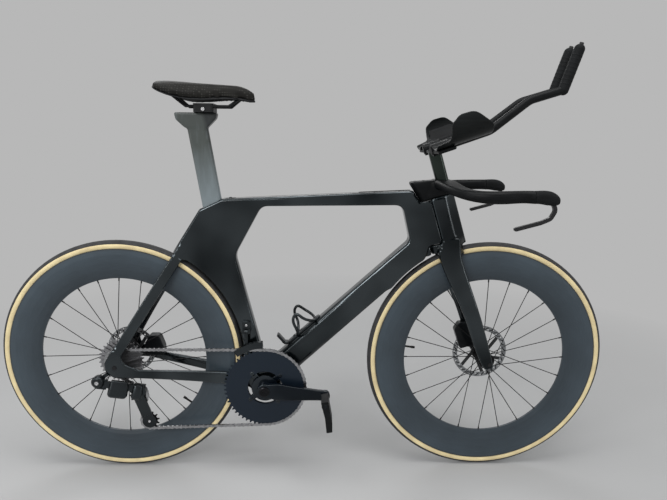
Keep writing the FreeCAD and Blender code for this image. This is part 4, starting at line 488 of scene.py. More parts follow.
@dataclass(frozen=True)
class Rubber(Finish):
    """Matt rubber with close raised dots."""

    name: str
    colour: Colour
    dots: float = 420.0
    depth: float = 0.0004
    dot_at: Span = (0.2, 0.5)
    dust_scale: float = 40.0
    dust_at: Span = (0.35, 0.75)
    sheen: Span = (0.6, 0.82)
    specular: float = 0.15

    def lay(self, shader: Shader) -> None:
        """Lay the nodes.

        Args:
            shader: The shader to fill.
        """
        dust = shader.noise(self.dust_scale, 4)
        shader.fix(Base_Color=shader.tones(dust, self.colour, 1, 1.7, self.dust_at))
        shader.rough(dust, *self.sheen)
        shader.bump(shader.level(shader.cells(self.dots), self.dot_at, (1, 0)), self.depth, 0.6)
        shader.fix(Specular_IOR_Level=self.specular)


@dataclass(frozen=True)
class Metal(Finish):
    """Plated or anodised metal with fine marks."""

    name: str
    colour: Colour
    roughness: float = 0.32
    grain: Point = (60, 60, 60)
    metallic: float = 1.0
    smoother: float = 0.1
    rougher: float = 0.14
    mark_scale: float = 8.0
    depth: float = 0.00008

    def lay(self, shader: Shader) -> None:
        """Lay the nodes.

        Args:
            shader: The shader to fill.
        """
        mark = shader.noise(self.mark_scale, 5, shader.placed(scale=self.grain))
        shader.fix(Base_Color=shader.tones(mark, self.colour, 0.75, 1.2))
        shader.rough(mark, self.roughness - self.smoother, self.roughness + self.rougher)
        shader.bump(mark, self.depth, 0.25)
        shader.fix(Metallic=self.metallic)


@dataclass(frozen=True)
class TurnedMetal(Finish):
    """Metal with fine circles about a shaft, as on rings and hubs."""

    name: str
    colour: Colour
    axle: Axle
    roughness: float = 0.3
    metallic: float = 1.0
    smoother: float = 0.08
    rougher: float = 0.12
    circle_scale: float = 1500.0
    depth: float = 0.00005

    def lay(self, shader: Shader) -> None:
        """Lay the nodes.

        Args:
            shader: The shader to fill.
        """
        radius, _ = shader.polar(self.axle)
        circles = shader.noise(self.circle_scale, 3, radius, "1D")
        shader.fix(Base_Color=shader.tones(circles, self.colour, 0.8, 1.2))
        shader.rough(circles, self.roughness - self.smoother, self.roughness + self.rougher)
        shader.bump(circles, self.depth, 0.3)
        shader.fix(Metallic=self.metallic)


@dataclass(frozen=True)
class TyreRubber(Finish):
    """Black tread over woven tan side walls, parted by distance from the axle."""

    name: str
    axle: Axle
    tread: Colour = (0.022, 0.022, 0.023)
    wall: Colour = (0.92, 0.75, 0.43)
    edge: float = 0.3292
    waver: float = 0.0004
    waver_scale: float = 60.0
    threads: Span = (700, 2600)
    thread_at: Span = (0.6, 1)
    thread_share: float = 0.25
    thread_height: float = 0.3
    stain_scale: float = 25.0
    dust_scale: float = 45.0
    dust_at: Span = (0.35, 0.75)
    cuts: Span = (900, 2400)
    shoulder: Span = (0.004, 0.007)
    sheen: Span = (0.62, 0.85)
    depth: float = 0.0003

    def lay(self, shader: Shader) -> None:
        """Lay the nodes.

        Args:
            shader: The shader to fill.
        """
        radius, angle = shader.polar(self.axle)
        waver = shader.level(shader.noise(self.waver_scale, 2), (0, 1), (-self.waver, self.waver))
        tread = shader.sum("GREATER_THAN", shader.sum("ADD", radius, waver), self.edge)
        weave = shader.level(shader.wave(angle, radius, self.threads), (-1, 1))
        thread = shader.level(weave, self.thread_at, (0, self.thread_share))
        stain = shader.noise(self.stain_scale, 4)
        wall = shader.blend(thread, shader.tones(stain, self.wall, 0.82, 1.12), shade(self.wall, 0.6))
        dust = shader.tones(shader.noise(self.dust_scale, 4), self.tread, 1, 1.9, self.dust_at)
        shader.fix(Base_Color=shader.blend(tread, wall, dust))
        shader.rough(stain, *self.sheen)
        off = shader.sum("ABSOLUTE", shader.split()[1])
        cuts = shader.sum("MULTIPLY", shader.wave(angle, off, self.cuts), shader.level(off, self.shoulder))
        grooves = shader.sum("MULTIPLY", cuts, tread)
        cloth = shader.sum("MULTIPLY", weave, self.thread_height)
        shader.bump(shader.sum("ADD", grooves, cloth), self.depth, 0.6)


@dataclass(frozen=True)
class RimCarbon(Finish):
    """Satin slate rim with a painted shade darkening it inwards, drawn fibres round it and a black lip."""

    name: str
    axle: Axle
    colour: Colour = (0.047, 0.065, 0.081)
    # Span and strength of the painted shade towards the inner edge
    inner_shade_at: Span = (0.246, 0.306)
    inner_shade_share: float = 0.5
    lip: Colour = (0.03, 0.032, 0.034)
    lip_at: Span = (0.312, 0.3155)
    lip_share: float = 0.85
    fibres: Span = (8, 900)
    fibre_at: Span = (0.45, 0.75)
    fibre_share: float = 0.35
    cloud_scale: float = 9.0
    sheen: Span = (0.36, 0.52)
    depth: float = 0.00005

    def lay(self, shader: Shader) -> None:
        """Lay the nodes.

        Args:
            shader: The shader to fill.
        """
        radius, angle = shader.polar(self.axle)
        place = shader.add("ShaderNodeCombineXYZ")
        for value, count, socket in zip((angle, radius), self.fibres, place.inputs):
            shader.feed(socket, shader.sum("MULTIPLY", value, count))
        streak = shader.noise(1, 4, place.outputs[0], "2D")
        base = shader.tones(shader.noise(self.cloud_scale, 3), self.colour, 0.85, 1.15)
        fibre = shader.level(streak, self.fibre_at, (0, self.fibre_share))
        base = shader.blend(fibre, base, shade(self.colour, 1.6))
        # Painted shade: the rim darkens towards its inner edge
        dark = shader.level(radius, self.inner_shade_at, (self.inner_shade_share, 0))
        base = shader.blend(dark, base, shade(self.colour, 0.35))
        lip = shader.level(radius, self.lip_at, (0, self.lip_share))
        shader.fix(Base_Color=shader.blend(lip, base, self.lip))
        shader.rough(streak, *self.sheen)
        shader.bump(streak, self.depth, 0.3)
        shader.fix(Coat_Weight=0.2, Coat_Roughness=0.25, Specular_IOR_Level=0.35)


@dataclass(frozen=True)
class RotorSteel(Finish):
    """A ground band with dark slots round a black carrier."""

    name: str
    axle: Axle
    band: Span
    carrier: Colour = (0.008, 0.009, 0.01)
    steel: Colour = (0.3, 0.31, 0.32)
    slot: Colour = (0.02, 0.02, 0.021)
    slots: Span = (30, 420)
    slot_at: Span = (0.55, 0.75)
    slot_half: float = 0.0046
    grind_scale: float = 1500.0
    sheen: Span = (0.28, 0.46)
    depth: float = 0.00005

    def lay(self, shader: Shader) -> None:
        """Lay the nodes.

        Args:
            shader: The shader to fill.
        """
        radius, angle = shader.polar(self.axle)
        grind = shader.noise(self.grind_scale, 2)
        off = shader.sum("ABSOLUTE", shader.sum("SUBTRACT", radius, sum(self.band) / 2))
        slot = shader.level(shader.wave(angle, radius, self.slots), self.slot_at)
        slot = shader.sum("MULTIPLY", slot, shader.sum("LESS_THAN", off, self.slot_half))
        wear_and_highlight = shader.blend(slot, shader.tones(grind, self.steel, 0.8, 1.2), self.slot)
        in_band = shader.sum("GREATER_THAN", radius, self.band[0])
        shader.fix(Base_Color=shader.blend(in_band, shader.tones(grind, self.carrier, 1, 1.8), wear_and_highlight))
        shader.fix(Metallic=in_band)
        shader.rough(grind, *self.sheen)
        shader.bump(grind, self.depth, 0.3)


@dataclass(frozen=True)
class SaddleSkin(Finish):
    """Fine-grained cover with rows of small holes inside a sunk seam."""

    name: str
    colour: Colour = (0.0085, 0.0082, 0.0074)
    wear_scale: float = 35.0
    wear_at: Span = (0.3, 0.75)
    hole: Colour = (0.05, 0.049, 0.045)
    hole_pitch: float = 0.0062
    hole_at: Span = (0.2, 0.32)
    ends: Span = (-0.36, -0.16)
    half_widths: Span = (0.102, 0.03)
    fade: float = 0.002
    seam_off: float = 0.004
    seam_half: float = 0.0012
    seam_share: float = 0.8
    grain_scale: float = 900.0
    grain_share: float = 0.18
    sheen: Span = (0.42, 0.6)
    depth: float = 0.0007
    specular: float = 0.08

    def lay(self, shader: Shader) -> None:
        """Lay the nodes.

        Args:
            shader: The shader to fill.
        """
        x, y, _ = shader.split()
        reach = shader.level(x, self.ends, self.half_widths)
        inside = shader.sum("SUBTRACT", reach, shader.sum("ABSOLUTE", y))
        hole = shader.level(shader.cells(1 / self.hole_pitch, 0.0), self.hole_at, (1, 0))
        hole = shader.sum("MULTIPLY", hole, shader.level(inside, (0, self.fade)))
        wear = shader.noise(self.wear_scale, 4)
        base = shader.tones(wear, self.colour, 1, 2, self.wear_at)
        shader.fix(Base_Color=shader.blend(hole, base, self.hole))
        shader.rough(wear, *self.sheen)
        off = shader.sum("ABSOLUTE", shader.sum("ADD", inside, self.seam_off))
        seam = shader.level(off, (0, self.seam_half), (self.seam_share, 0))
        grain = shader.sum("MULTIPLY", shader.cells(self.grain_scale), self.grain_share)
        shader.bump(shader.sum("SUBTRACT", grain, shader.sum("ADD", hole, seam)), self.depth, 0.8)
        shader.fix(Specular_IOR_Level=self.specular)


NODES: dict[str, Piece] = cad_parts


def dress(finish: Finish, *names: str) -> Material:
    """Give CAD nodes one finish.

    Args:
        finish: The finish.
        names: Node names.

    Returns:
        The material.
    """
    material = finish.build()
    for name in names:
        mesh = NODES[name].data
        mesh.materials.clear()
        mesh.materials.append(material)
        LOG.info("finish %s on %s", material.name, name)
    return material


def linked(name: str, shape: bmesh.types.BMesh) -> Piece:
    """Make an object of the scene from a mesh under construction.

    Args:
        name: The object's name.
        shape: The mesh, which is used up.

    Returns:
        The object.
    """
    mesh = bpy.data.meshes.new(name)
    shape.to_mesh(mesh)
    shape.free()
    piece = bpy.data.objects.new(name, mesh)
    bpy.context.scene.collection.objects.link(piece)
    return piece


def merged(nodes: Sequence[str]) -> bmesh.types.BMesh:
    """Copy CAD meshes with their doubled points merged.

    Args:
        nodes: Node names.

    Returns:
        One mesh of them all.
    """
    shape = bmesh.new()
    for node in nodes:
        shape.from_mesh(NODES[node].data)
    bmesh.ops.remove_doubles(shape, verts=shape.verts, dist=DOUBLED)
    bmesh.ops.recalc_face_normals(shape, faces=shape.faces)
    return shape


def remesh(piece: Piece, voxel: float) -> None:
    """Lay one even skin of voxel faces over a piece, as a modifier.

    Args:
        piece: The object.
        voxel: The faces' size, in metres.
    """
    skin = piece.modifiers.new("skin", "REMESH")
    skin.mode = "VOXEL"
    skin.voxel_size = voxel


def ease(piece: Piece, passes: int) -> None:
    """Ease a piece's edges, as a modifier.

    Args:
        piece: The object.
        passes: How often.
    """
    smooth = piece.modifiers.new("ease", "SMOOTH")
    smooth.factor = 0.5
    smooth.iterations = passes


def grow(piece: Piece, distance: float) -> None:
    """Move a piece's surface along its normals, as a modifier.

    Args:
        piece: The object.
        distance: How far out, in metres.
    """
    push = piece.modifiers.new("grow", "DISPLACE")
    push.mid_level = 0
    push.strength = distance


def baked(piece: Piece) -> Piece:
    """Put the result of a piece's modifiers into its mesh and take them off.

    Args:
        piece: An object with modifiers.

    Returns:
        The same object.
    """
    depsgraph = bpy.context.evaluated_depsgraph_get()
    mesh = bpy.data.meshes.new_from_object(piece.evaluated_get(depsgraph))
    piece.modifiers.clear()
    piece.data = mesh
    mesh.name = piece.name
    return piece


def reshape(piece: Piece, shaping: Shaping) -> None:
    """Move a piece's points.

    Args:
        piece: The object.
        shaping: Takes one row of coordinates for each point and gives the new ones.
    """
    points = np.array([vertex.co[:] for vertex in piece.data.vertices])
    piece.data.vertices.foreach_set("co", shaping(points).ravel())
    piece.data.update()


def rising(values: np.ndarray, low: float, high: float) -> np.ndarray:
    """A smooth step.

    Args:
        values: The values.
        low: Where the step starts, at 0.
        high: Where it ends, at 1.

    Returns:
        Shares between 0 and 1.
    """
    share = np.clip((values - low) / (high - low), 0, 1)
    return share * share * (3 - 2 * share)


def settle(piece: Piece, material: Material, body: str, sharp: float = 180.0) -> Piece:
    """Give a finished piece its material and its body.

    Args:
        piece: The object.
        material: Its material.
        body: The body it rides on.
        sharp: Edges bent more than this many degrees stay sharp.

    Returns:
        The same object.
    """
    piece.data.materials.clear()
    piece.data.materials.append(material)
    piece.data.shade_smooth()
    if sharp < 180:
        piece.data.set_sharp_from_angle(angle=math.radians(sharp))
    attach(piece, body)
    LOG.info("piece %s rides on %s with %d faces", piece.name, body, len(piece.data.polygons))
    return piece


@dataclass
class Shell:
    """A continuous moulded skin worked from copies of CAD solids."""

    name: str
    nodes: tuple[str, ...]
    body: str
    slot: str
    voxel: float
    passes: int = 4
    keep: float = 0.5
    hollow: float = 0.0
    swell: float = 0.0
    shaping: Shaping | None = None

    def build(self, material: Material) -> Piece:
        """Remesh the copies as one skin, round its hollow and outer edges and replace the nodes.

        Args:
            material: The skin's material.

        Returns:
            The skin.
        """
        piece = linked(self.name, merged(self.nodes))
        remesh(piece, self.voxel)
        if self.hollow:
            grow(piece, self.hollow)
            remesh(piece, self.voxel)
            grow(piece, -self.hollow)
        if self.swell:
            grow(piece, self.swell)
        if self.shaping:
            reshape(baked(piece), self.shaping)
            remesh(piece, self.voxel)
        ease(piece, self.passes)
        thin = piece.modifiers.new("thin", "DECIMATE")
        thin.ratio = self.keep
        baked(piece)
        settle(piece, material, self.body)
        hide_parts(*self.nodes)
        return piece


@dataclass
class Cushion:
    """Foam under a cover: a remeshed copy of a CAD solid, swelled by a short run of inner pressure."""

    name: str
    node: str
    body: str
    slot: str
    voxel: float = 0.0045
    slack: float = 0.0006
    cap: float = 0.0016
    pressure: float = 4.0
    steps: int = 20
    fill: float = 0.75
    still: float = -0.15
    free: float = 0.25
    passes: int = 3
    quality: int = 5
    stiffness: float = 12.0
    shaping: Shaping | None = None

    def swell(self, piece: Piece) -> np.ndarray:
        """Run the pressure and give where each point ends.

        Args:
            piece: The slack form.

        Returns:
            One row of coordinates for each point.
        """
        scene = bpy.context.scene
        cloth = piece.modifiers.new("cloth", "CLOTH")
        cloth.settings.use_pressure = True
        cloth.settings.uniform_pressure_force = self.pressure
        cloth.settings.effector_weights.gravity = 0
        cloth.settings.quality = self.quality
        cloth.settings.tension_stiffness = self.stiffness
        cloth.point_cache.frame_start = 1
        cloth.point_cache.frame_end = self.steps
        for step in range(1, self.steps + 1):
            scene.frame_set(step)
        depsgraph = bpy.context.evaluated_depsgraph_get()
        ended = piece.evaluated_get(depsgraph).to_mesh()
        points = np.array([vertex.co[:] for vertex in ended.vertices])
        piece.evaluated_get(depsgraph).to_mesh_clear()
        piece.modifiers.clear()
        scene.frame_set(1)
        return points

    def build(self, material: Material) -> Piece:
        """Make the soft piece and replace its node.

        Args:
            material: The cover's material.

        Returns:
            The soft piece.
        """
        piece = linked(self.name, merged((self.node,)))
        remesh(piece, self.voxel)
        ease(piece, self.passes)
        baked(piece)
        if self.shaping:
            reshape(piece, self.shaping)
        start = np.array([(vertex.co - vertex.normal * self.slack)[:] for vertex in piece.data.vertices])
        piece.data.vertices.foreach_set("co", start.ravel())
        upward = np.array([vertex.normal.z for vertex in piece.data.vertices])
        moved = self.swell(piece) - start
        moved *= np.clip((upward - self.still) / (self.free - self.still), 0, 1)[:, None]
        length = np.maximum(np.linalg.norm(moved, axis=1, keepdims=True), 1e-9)
        moved *= np.minimum(1.0, self.cap / length)
        piece.data.vertices.foreach_set("co", (start + moved).ravel())
        finer = piece.modifiers.new("finer", "SUBSURF")
        finer.levels = 1
        finer.render_levels = 1
        baked(piece)
        settle(piece, material, self.body)
        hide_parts(self.node)
        return piece


class Surface:
    """The outside of a CAD node, for finding where fittings sit."""

    def __init__(self, node: str) -> None:
        """Read a node's faces.

        Args:
            node: The node's name.
        """
        mesh = NODES[node].data
        points = [vertex.co.copy() for vertex in mesh.vertices]
        self.tree = BVHTree.FromPolygons(points, [polygon.vertices[:] for polygon in mesh.polygons])

    def hit(self, start: Point | Vector, way: Point | Vector) -> Vector:
        """Find where a line first meets the surface.

        Args:
            start: A point outside, in metres.
            way: The line's direction.

        Returns:
            The meeting point, or the start where nothing is met.
        """
        found = self.tree.ray_cast(Vector(start), Vector(way))[0]
        return Vector(start) if found is None else found


class Form:
    """A mesh under construction, made of turned and pressed shapes."""

    def __init__(self, name: str) -> None:
        """Start an empty form.

        Args:
            name: The finished piece's name.
        """
        self.name = name
        self.shape = bmesh.new()

    def lathe(self, outline: Outline, centre: Point | Vector, way: Point | Vector, steps: int) -> None:
        """Turn an outline about an axis.

        Args:
            outline: Distances from the axis and heights along it, in metres.
            centre: Where the axis starts.
            way: The axis.
            steps: Number of flats round.
        """
        part = bmesh.new()
        line = [part.verts.new((radius, 0, height)) for radius, height in outline]
        edges = [part.edges.new(pair) for pair in zip(line, line[1:])]
        bmesh.ops.spin(part, geom=line + edges, cent=(0, 0, 0), axis=(0, 0, 1), angle=math.tau, steps=steps,
                       use_merge=True)
        bmesh.ops.remove_doubles(part, verts=part.verts, dist=SEAM)
        bmesh.ops.recalc_face_normals(part, faces=part.faces)
        turn = Vector(way).to_track_quat("Z", "Y").to_matrix().to_4x4()
        self.take(part, Matrix.Translation(Vector(centre)) @ turn)

    def plate(self, corners: Outline, thickness: float, place: Matrix, edge: float) -> None:
        """Press a flat plate with eased edges.

        Args:
            corners: Outline in metres.
            thickness: Height along the plate's own Z.
            place: Where the plate goes.
            edge: Size of the eased edge.
        """
        part = bmesh.new()
        face = part.faces.new([part.verts.new((x, y, 0)) for x, y in corners])
        grown = bmesh.ops.extrude_face_region(part, geom=[face])["geom"]
        moved = [item for item in grown if isinstance(item, bmesh.types.BMVert)]
        bmesh.ops.translate(part, verts=moved, vec=(0, 0, thickness))
        bmesh.ops.recalc_face_normals(part, faces=part.faces)
        self.bevel(part, edge, steps=2)
        self.take(part, place)

    def block(self, size: Point, place: Matrix, edge: float) -> None:
        """Make a box with well rounded edges.

        Args:
            size: Its lengths along its own axes, in metres.
            place: Where its middle goes.
            edge: Radius of the edges.
        """
        part = bmesh.new()
        bmesh.ops.create_cube(part, size=1.0)
        bmesh.ops.scale(part, vec=size, verts=part.verts)
        self.bevel(part, edge, steps=4)
        bmesh.ops.recalc_face_normals(part, faces=part.faces)
        self.take(part, place)

    def bevel(self, part: bmesh.types.BMesh, edge: float, steps: int) -> None:
        """Round all edges of a shape.

        Args:
            part: The shape.
            edge: Radius of the edges.
            steps: Number of flats across each.
        """
        bmesh.ops.bevel(part, geom=part.edges[:], offset=edge, affect="EDGES", segments=steps, profile=0.5,
                        material=-1)

    def take(self, part: bmesh.types.BMesh, place: Matrix) -> None:
        """Add a finished shape at its place.

        Args:
            part: The shape, which is used up.
            place: Where it goes.
        """
        bmesh.ops.transform(part, matrix=place, verts=part.verts)
        mesh = bpy.data.meshes.new("part")
        part.to_mesh(mesh)
        part.free()
        self.shape.from_mesh(mesh)
        bpy.data.meshes.remove(mesh)

    def bolt(self, at: Point | Vector, way: Point | Vector, radius: float, height: float) -> None:
        """Add a round bolt head with a driving socket.

        Args:
            at: Where the head sits.
            way: The way it faces.
            radius: Its radius.
            height: Its height.
        """
        edge = height * 0.3
        bottom = height * 0.35
        socket = radius * 0.5
        outline = ((0, bottom), (socket, bottom), (socket, height), (radius - edge, height),
                   (radius, height - edge), (radius, -height))
        self.lathe(outline, at, way, steps=18)

    def done(self, material: Material, body: str, sharp: float = 35.0) -> Piece:
        """Turn the form into a piece of the scene.

        Args:
            material: Its material.
            body: The body it rides on.
            sharp: Edges bent more than this many degrees stay sharp.

        Returns:
            The piece.
        """
        return settle(linked(self.name, self.shape), material, body, sharp)


@dataclass(frozen=True)
class Lamp:
    """A soft box: where it hangs, the point it faces, its width and height in metres and its watts."""

    name: str
    at: Point
    to: Point
    size: Span
    power: float


LAMPS = (
    Lamp("top", (0, -0.4, 3.0), (0, 0, 0.5), (3.0, 1.4), 52),
    Lamp("key", (-1.8, -3.0, 2.4), (0, 0, 0.5), (2.0, 0.9), 56),
    Lamp("right_strip", (3.0, -1.8, 1.5), (0.2, 0, 0.5), (0.4, 2.2), 14),
    Lamp("left_strip", (-3.0, -1.5, 1.5), (-0.2, 0, 0.5), (0.4, 2.2), 14),
    Lamp("back", (-0.4, 3.0, 2.6), (0, 0, 0.6), (3.0, 0.9), 26),
)


@dataclass
class Studio:
    """Camera, floor and soft lights."""

    camera_at: Point = (0.04307, -1.40974, 0.94625)
    yaw: float = math.radians(1.383)
    pitch: float = math.radians(11.747)
    roll: float = math.radians(0.603)
    lens: float = 28.104
    sensor: float = 36.0
    backdrop: Colour = (0.479, 0.479, 0.479)
    floor_size: float = 60.0
    fade: Span = (0.95, 2.3)
    fill: float = 0.3
    fill_colour: Colour = (0.95, 0.98, 1.0)

    def camera(self) -> None:
        """Stand the camera where the photograph was taken from."""
        data = bpy.data.cameras.new("camera")
        data.lens = self.lens
        data.sensor_width = self.sensor
        data.clip_end = 100
        camera = bpy.data.objects.new("camera", data)
        aim = Matrix.Rotation(-self.yaw, 4, "Z") @ Matrix.Rotation(math.pi / 2 - self.pitch, 4, "X")
        roll = Matrix.Rotation(self.roll, 4, "Z")
        camera.matrix_world = Matrix.Translation(self.camera_at) @ aim @ roll
        bpy.context.scene.collection.objects.link(camera)
        bpy.context.scene.camera = camera

    def floor(self) -> None:
        """Lay a wide pale floor that fades into the backdrop far from the object."""
        shape = bmesh.new()
        bmesh.ops.create_grid(shape, x_segments=1, y_segments=1, size=self.floor_size / 2)
        floor = linked("floor", shape)
        shader = Shader("floor_paint")
        shader.fix(Base_Color=shader.tones(shader.noise(3, 4), self.backdrop, 0.985, 1.015, (0.2, 0.8)))
        shader.fix(Roughness=0.95, Specular_IOR_Level=0.0)
        x, y, _ = shader.split()
        square = shader.sum("ADD", shader.sum("MULTIPLY", x, x), shader.sum("MULTIPLY", y, y))
        far = shader.level(shader.sum("SQRT", square), self.fade)
        glow = shader.add("ShaderNodeEmission", {"Color": (*self.backdrop, 1)})
        mix = shader.add("ShaderNodeMixShader", {0: far, 1: shader.surface.outputs[0], 2: glow.outputs[0]})
        shader.feed(shader.tree.nodes["Material Output"].inputs["Surface"], mix.outputs[0])
        floor.data.materials.append(shader.material)

    def world(self) -> None:
        """Give an even pale surrounding, seen as the backdrop by the camera, gloss and glass."""
        world = bpy.data.worlds.new("studio")
        world.use_nodes = True
        bpy.context.scene.world = world
        world.node_tree.nodes.clear()
        nodes = Nodes(world.node_tree)
        fill = nodes.add("ShaderNodeBackground", {"Color": (*self.fill_colour, 1), "Strength": self.fill})
        seen = nodes.add("ShaderNodeBackground", {"Color": (*self.backdrop, 1)})
        path = nodes.add("ShaderNodeLightPath").outputs
        share = path["Is Camera Ray"]
        for name in ("Is Glossy Ray", "Is Transmission Ray"):
            share = nodes.add("ShaderNodeMath", {0: share, 1: path[name]}, operation="MAXIMUM").outputs[0]
        mix = nodes.add("ShaderNodeMixShader", {0: share, 1: fill.outputs[0], 2: seen.outputs[0]})
        nodes.add("ShaderNodeOutputWorld", {"Surface": mix.outputs[0]})

    def hang(self, lamp: Lamp) -> None:
        """Hang one soft box.

        Args:
            lamp: Its sizes and place.
        """
        data = bpy.data.lights.new(lamp.name, "AREA")
        data.shape = "RECTANGLE"
        data.size, data.size_y = lamp.size
        data.energy = lamp.power
        box = bpy.data.objects.new(lamp.name, data)
        way = Vector(lamp.to) - Vector(lamp.at)
        box.matrix_world = Matrix.Translation(lamp.at) @ way.to_track_quat("-Z", "Y").to_matrix().to_4x4()
        bpy.context.scene.collection.objects.link(box)

    def build(self) -> None:
        """Set up the whole studio."""
        self.camera()
        self.floor()
        self.world()
        for lamp in LAMPS:
            self.hang(lamp)
        bpy.context.scene.view_settings.view_transform = "Standard"
        LOG.info("studio is set")


BLACK = (0.0055, 0.0062, 0.0068)
BRIGHT = Metal("bolt_bright", (0.62, 0.62, 0.63), 0.24)
DARK_BOLT = Metal("bolt_dark", (0.045, 0.046, 0.048), 0.34)


@dataclass
class FrameSet:
    """Main frame, rear stays and fork as moulded skins, with the top tube's cover strip."""

    frame_voxel: float = 0.0028
    fork_voxel: float = 0.0021
    strip_from: float = 0.143
    strip_to: float = 0.284
    strip_half: float = 0.0085
    strip_height: float = 0.0016
    strip_sunk: float = 0.0006
    strip_edge: float = 0.0006
    strip_corners: int = 4
    strip_turn: float = math.radians(22.0)
    above: float = 1.2
    passes: int = 14
    # Outline, half width and edge of the dark plate that stands in for the shaded gap behind the fork crown
    filler: Outline = ((0.3245, 0.656), (0.3385, 0.667), (0.3398, 0.6662), (0.3466, 0.6445), (0.3408, 0.6409),
                       (0.3312, 0.6385))
    filler_half: float = 0.0185
    filler_edge: float = 0.0025
    tyre_reach: float = 0.339
    tyre_half: float = 0.034
    room: float = 0.03
    edge: float = 0.007
    gap: float = 0.0018
    crown_halves: Span = (0.0262, 0.0425)
    crown_heights: Span = (0.622, 0.702)
    crown_top: float = 0.722

    def skins(self) -> None:
        """Make the frame and fork skins."""
        # The frame's paint carries the full painted highlight along its edges
        paint = GlossPaint("frame_gloss", (0.0024, 0.0034, 0.004), wear_and_highlight=1.0).build()
        stays = ("main_frame", "rear_stay_left", "rear_stay_right")
        skin = Shell("frame_skin", stays, "frame", "frame_paint", self.frame_voxel, self.passes, hollow=0.006)
        reshape(skin.build(paint), self.close_up)
        Shell("fork_skin", ("fork",), "steering", "frame_paint", self.fork_voxel, self.passes, hollow=0.005,
              shaping=self.shoulder).build(paint)

    def shoulder(self, points: np.ndarray) -> np.ndarray:
        """Slope the crown's sides up into the narrower head fairing.

        Args:
            points: One row of coordinates for each point.

        Returns:
            The moved points.
        """
        narrow, wide = self.crown_halves
        low, high = self.crown_heights
        limit = wide - (wide - narrow) * rising(points[:, 2], low, high)
        lean = np.minimum(1.0, limit / np.maximum(np.abs(points[:, 1]), 1e-6))
        inside = (points[:, 2] > low) & (points[:, 2] < self.crown_top)
        points[:, 1] *= np.where(inside, lean, 1.0)
        return points

    def close_up(self, points: np.ndarray) -> np.ndarray:
        """Bring the seat tube's hollow edge nearer to the rear tyre.

        Args:
            points: One row of coordinates for each point.

        Returns:
            The moved points.
        """
        x, z = Axle.REAR.value
        reach = np.hypot(points[:, 0] - x, points[:, 2] - z)
        near = (reach > self.tyre_reach) & (reach < self.tyre_reach + self.room)
        near &= np.abs(points[:, 1]) < self.tyre_half
        share = np.clip((reach - self.tyre_reach - self.edge) / (self.room - self.edge), 0, 1)
        wanted = self.tyre_reach + self.gap + share * (self.room - self.gap)
        scale = np.where(near, np.minimum(wanted, reach) / np.maximum(reach, 1e-9), 1.0)
        points[:, 0] = x + (points[:, 0] - x) * scale
        points[:, 2] = z + (points[:, 2] - z) * scale
        return points

    def gap_shade_plate(self) -> None:
        """Fill the corner of the frame behind the fork crown with a dark plate that stands in for the shaded
        gap there.
        """
        form = Form("gap_shade_plate")
        place = Matrix.Translation((0, self.filler_half, 0)) @ Matrix.Rotation(math.radians(90), 4, "X")
        form.plate(self.filler, 2 * self.filler_half, place, self.filler_edge)
        form.done(GlossPaint("gap_shade_gloss", (0.002, 0.0036, 0.0045)).build(), "frame")

    def strip(self) -> None:
        """Lay the rubber cover strip along the top tube."""
        top = Surface("main_frame")
        rear = top.hit((self.strip_from, 0, self.above), DOWN)
        front = top.hit((self.strip_to, 0, self.above), DOWN)
        along = front - rear
        half = along.length / 2
        ends = []
        for sense in (1, -1):
            for corner in range(-self.strip_corners, self.strip_corners + 1):
                turn = self.strip_turn * corner
                ends.append((sense * (half - self.strip_half + self.strip_half * math.cos(turn)),
                             sense * self.strip_half * math.sin(turn)))
        along.normalize()
        up = along.cross(ACROSS) * -1
        if up.z < 0:
            up.negate()
        axes = Matrix((along, up.cross(along), up)).transposed().to_4x4()
        place = Matrix.Translation((rear + front) / 2 - up * self.strip_sunk) @ axes
        form = Form("top_tube_strip")
        form.plate(ends, self.strip_height, place, self.strip_edge)
        form.done(Rubber("strip_rubber", BLACK, 700, 0.0002).build(), "frame")

    def build(self) -> None:
        """Dress the frame set."""
        self.skins()
        self.gap_shade_plate()
        self.strip()
        dress(Metal("bearing_ground", (0.2, 0.2, 0.2)), "headset_bearings", "bottom_bracket")
        dress(Moulding("clamp_satin", (0.03, 0.033, 0.036), 0.42), "seatpost_clamp")


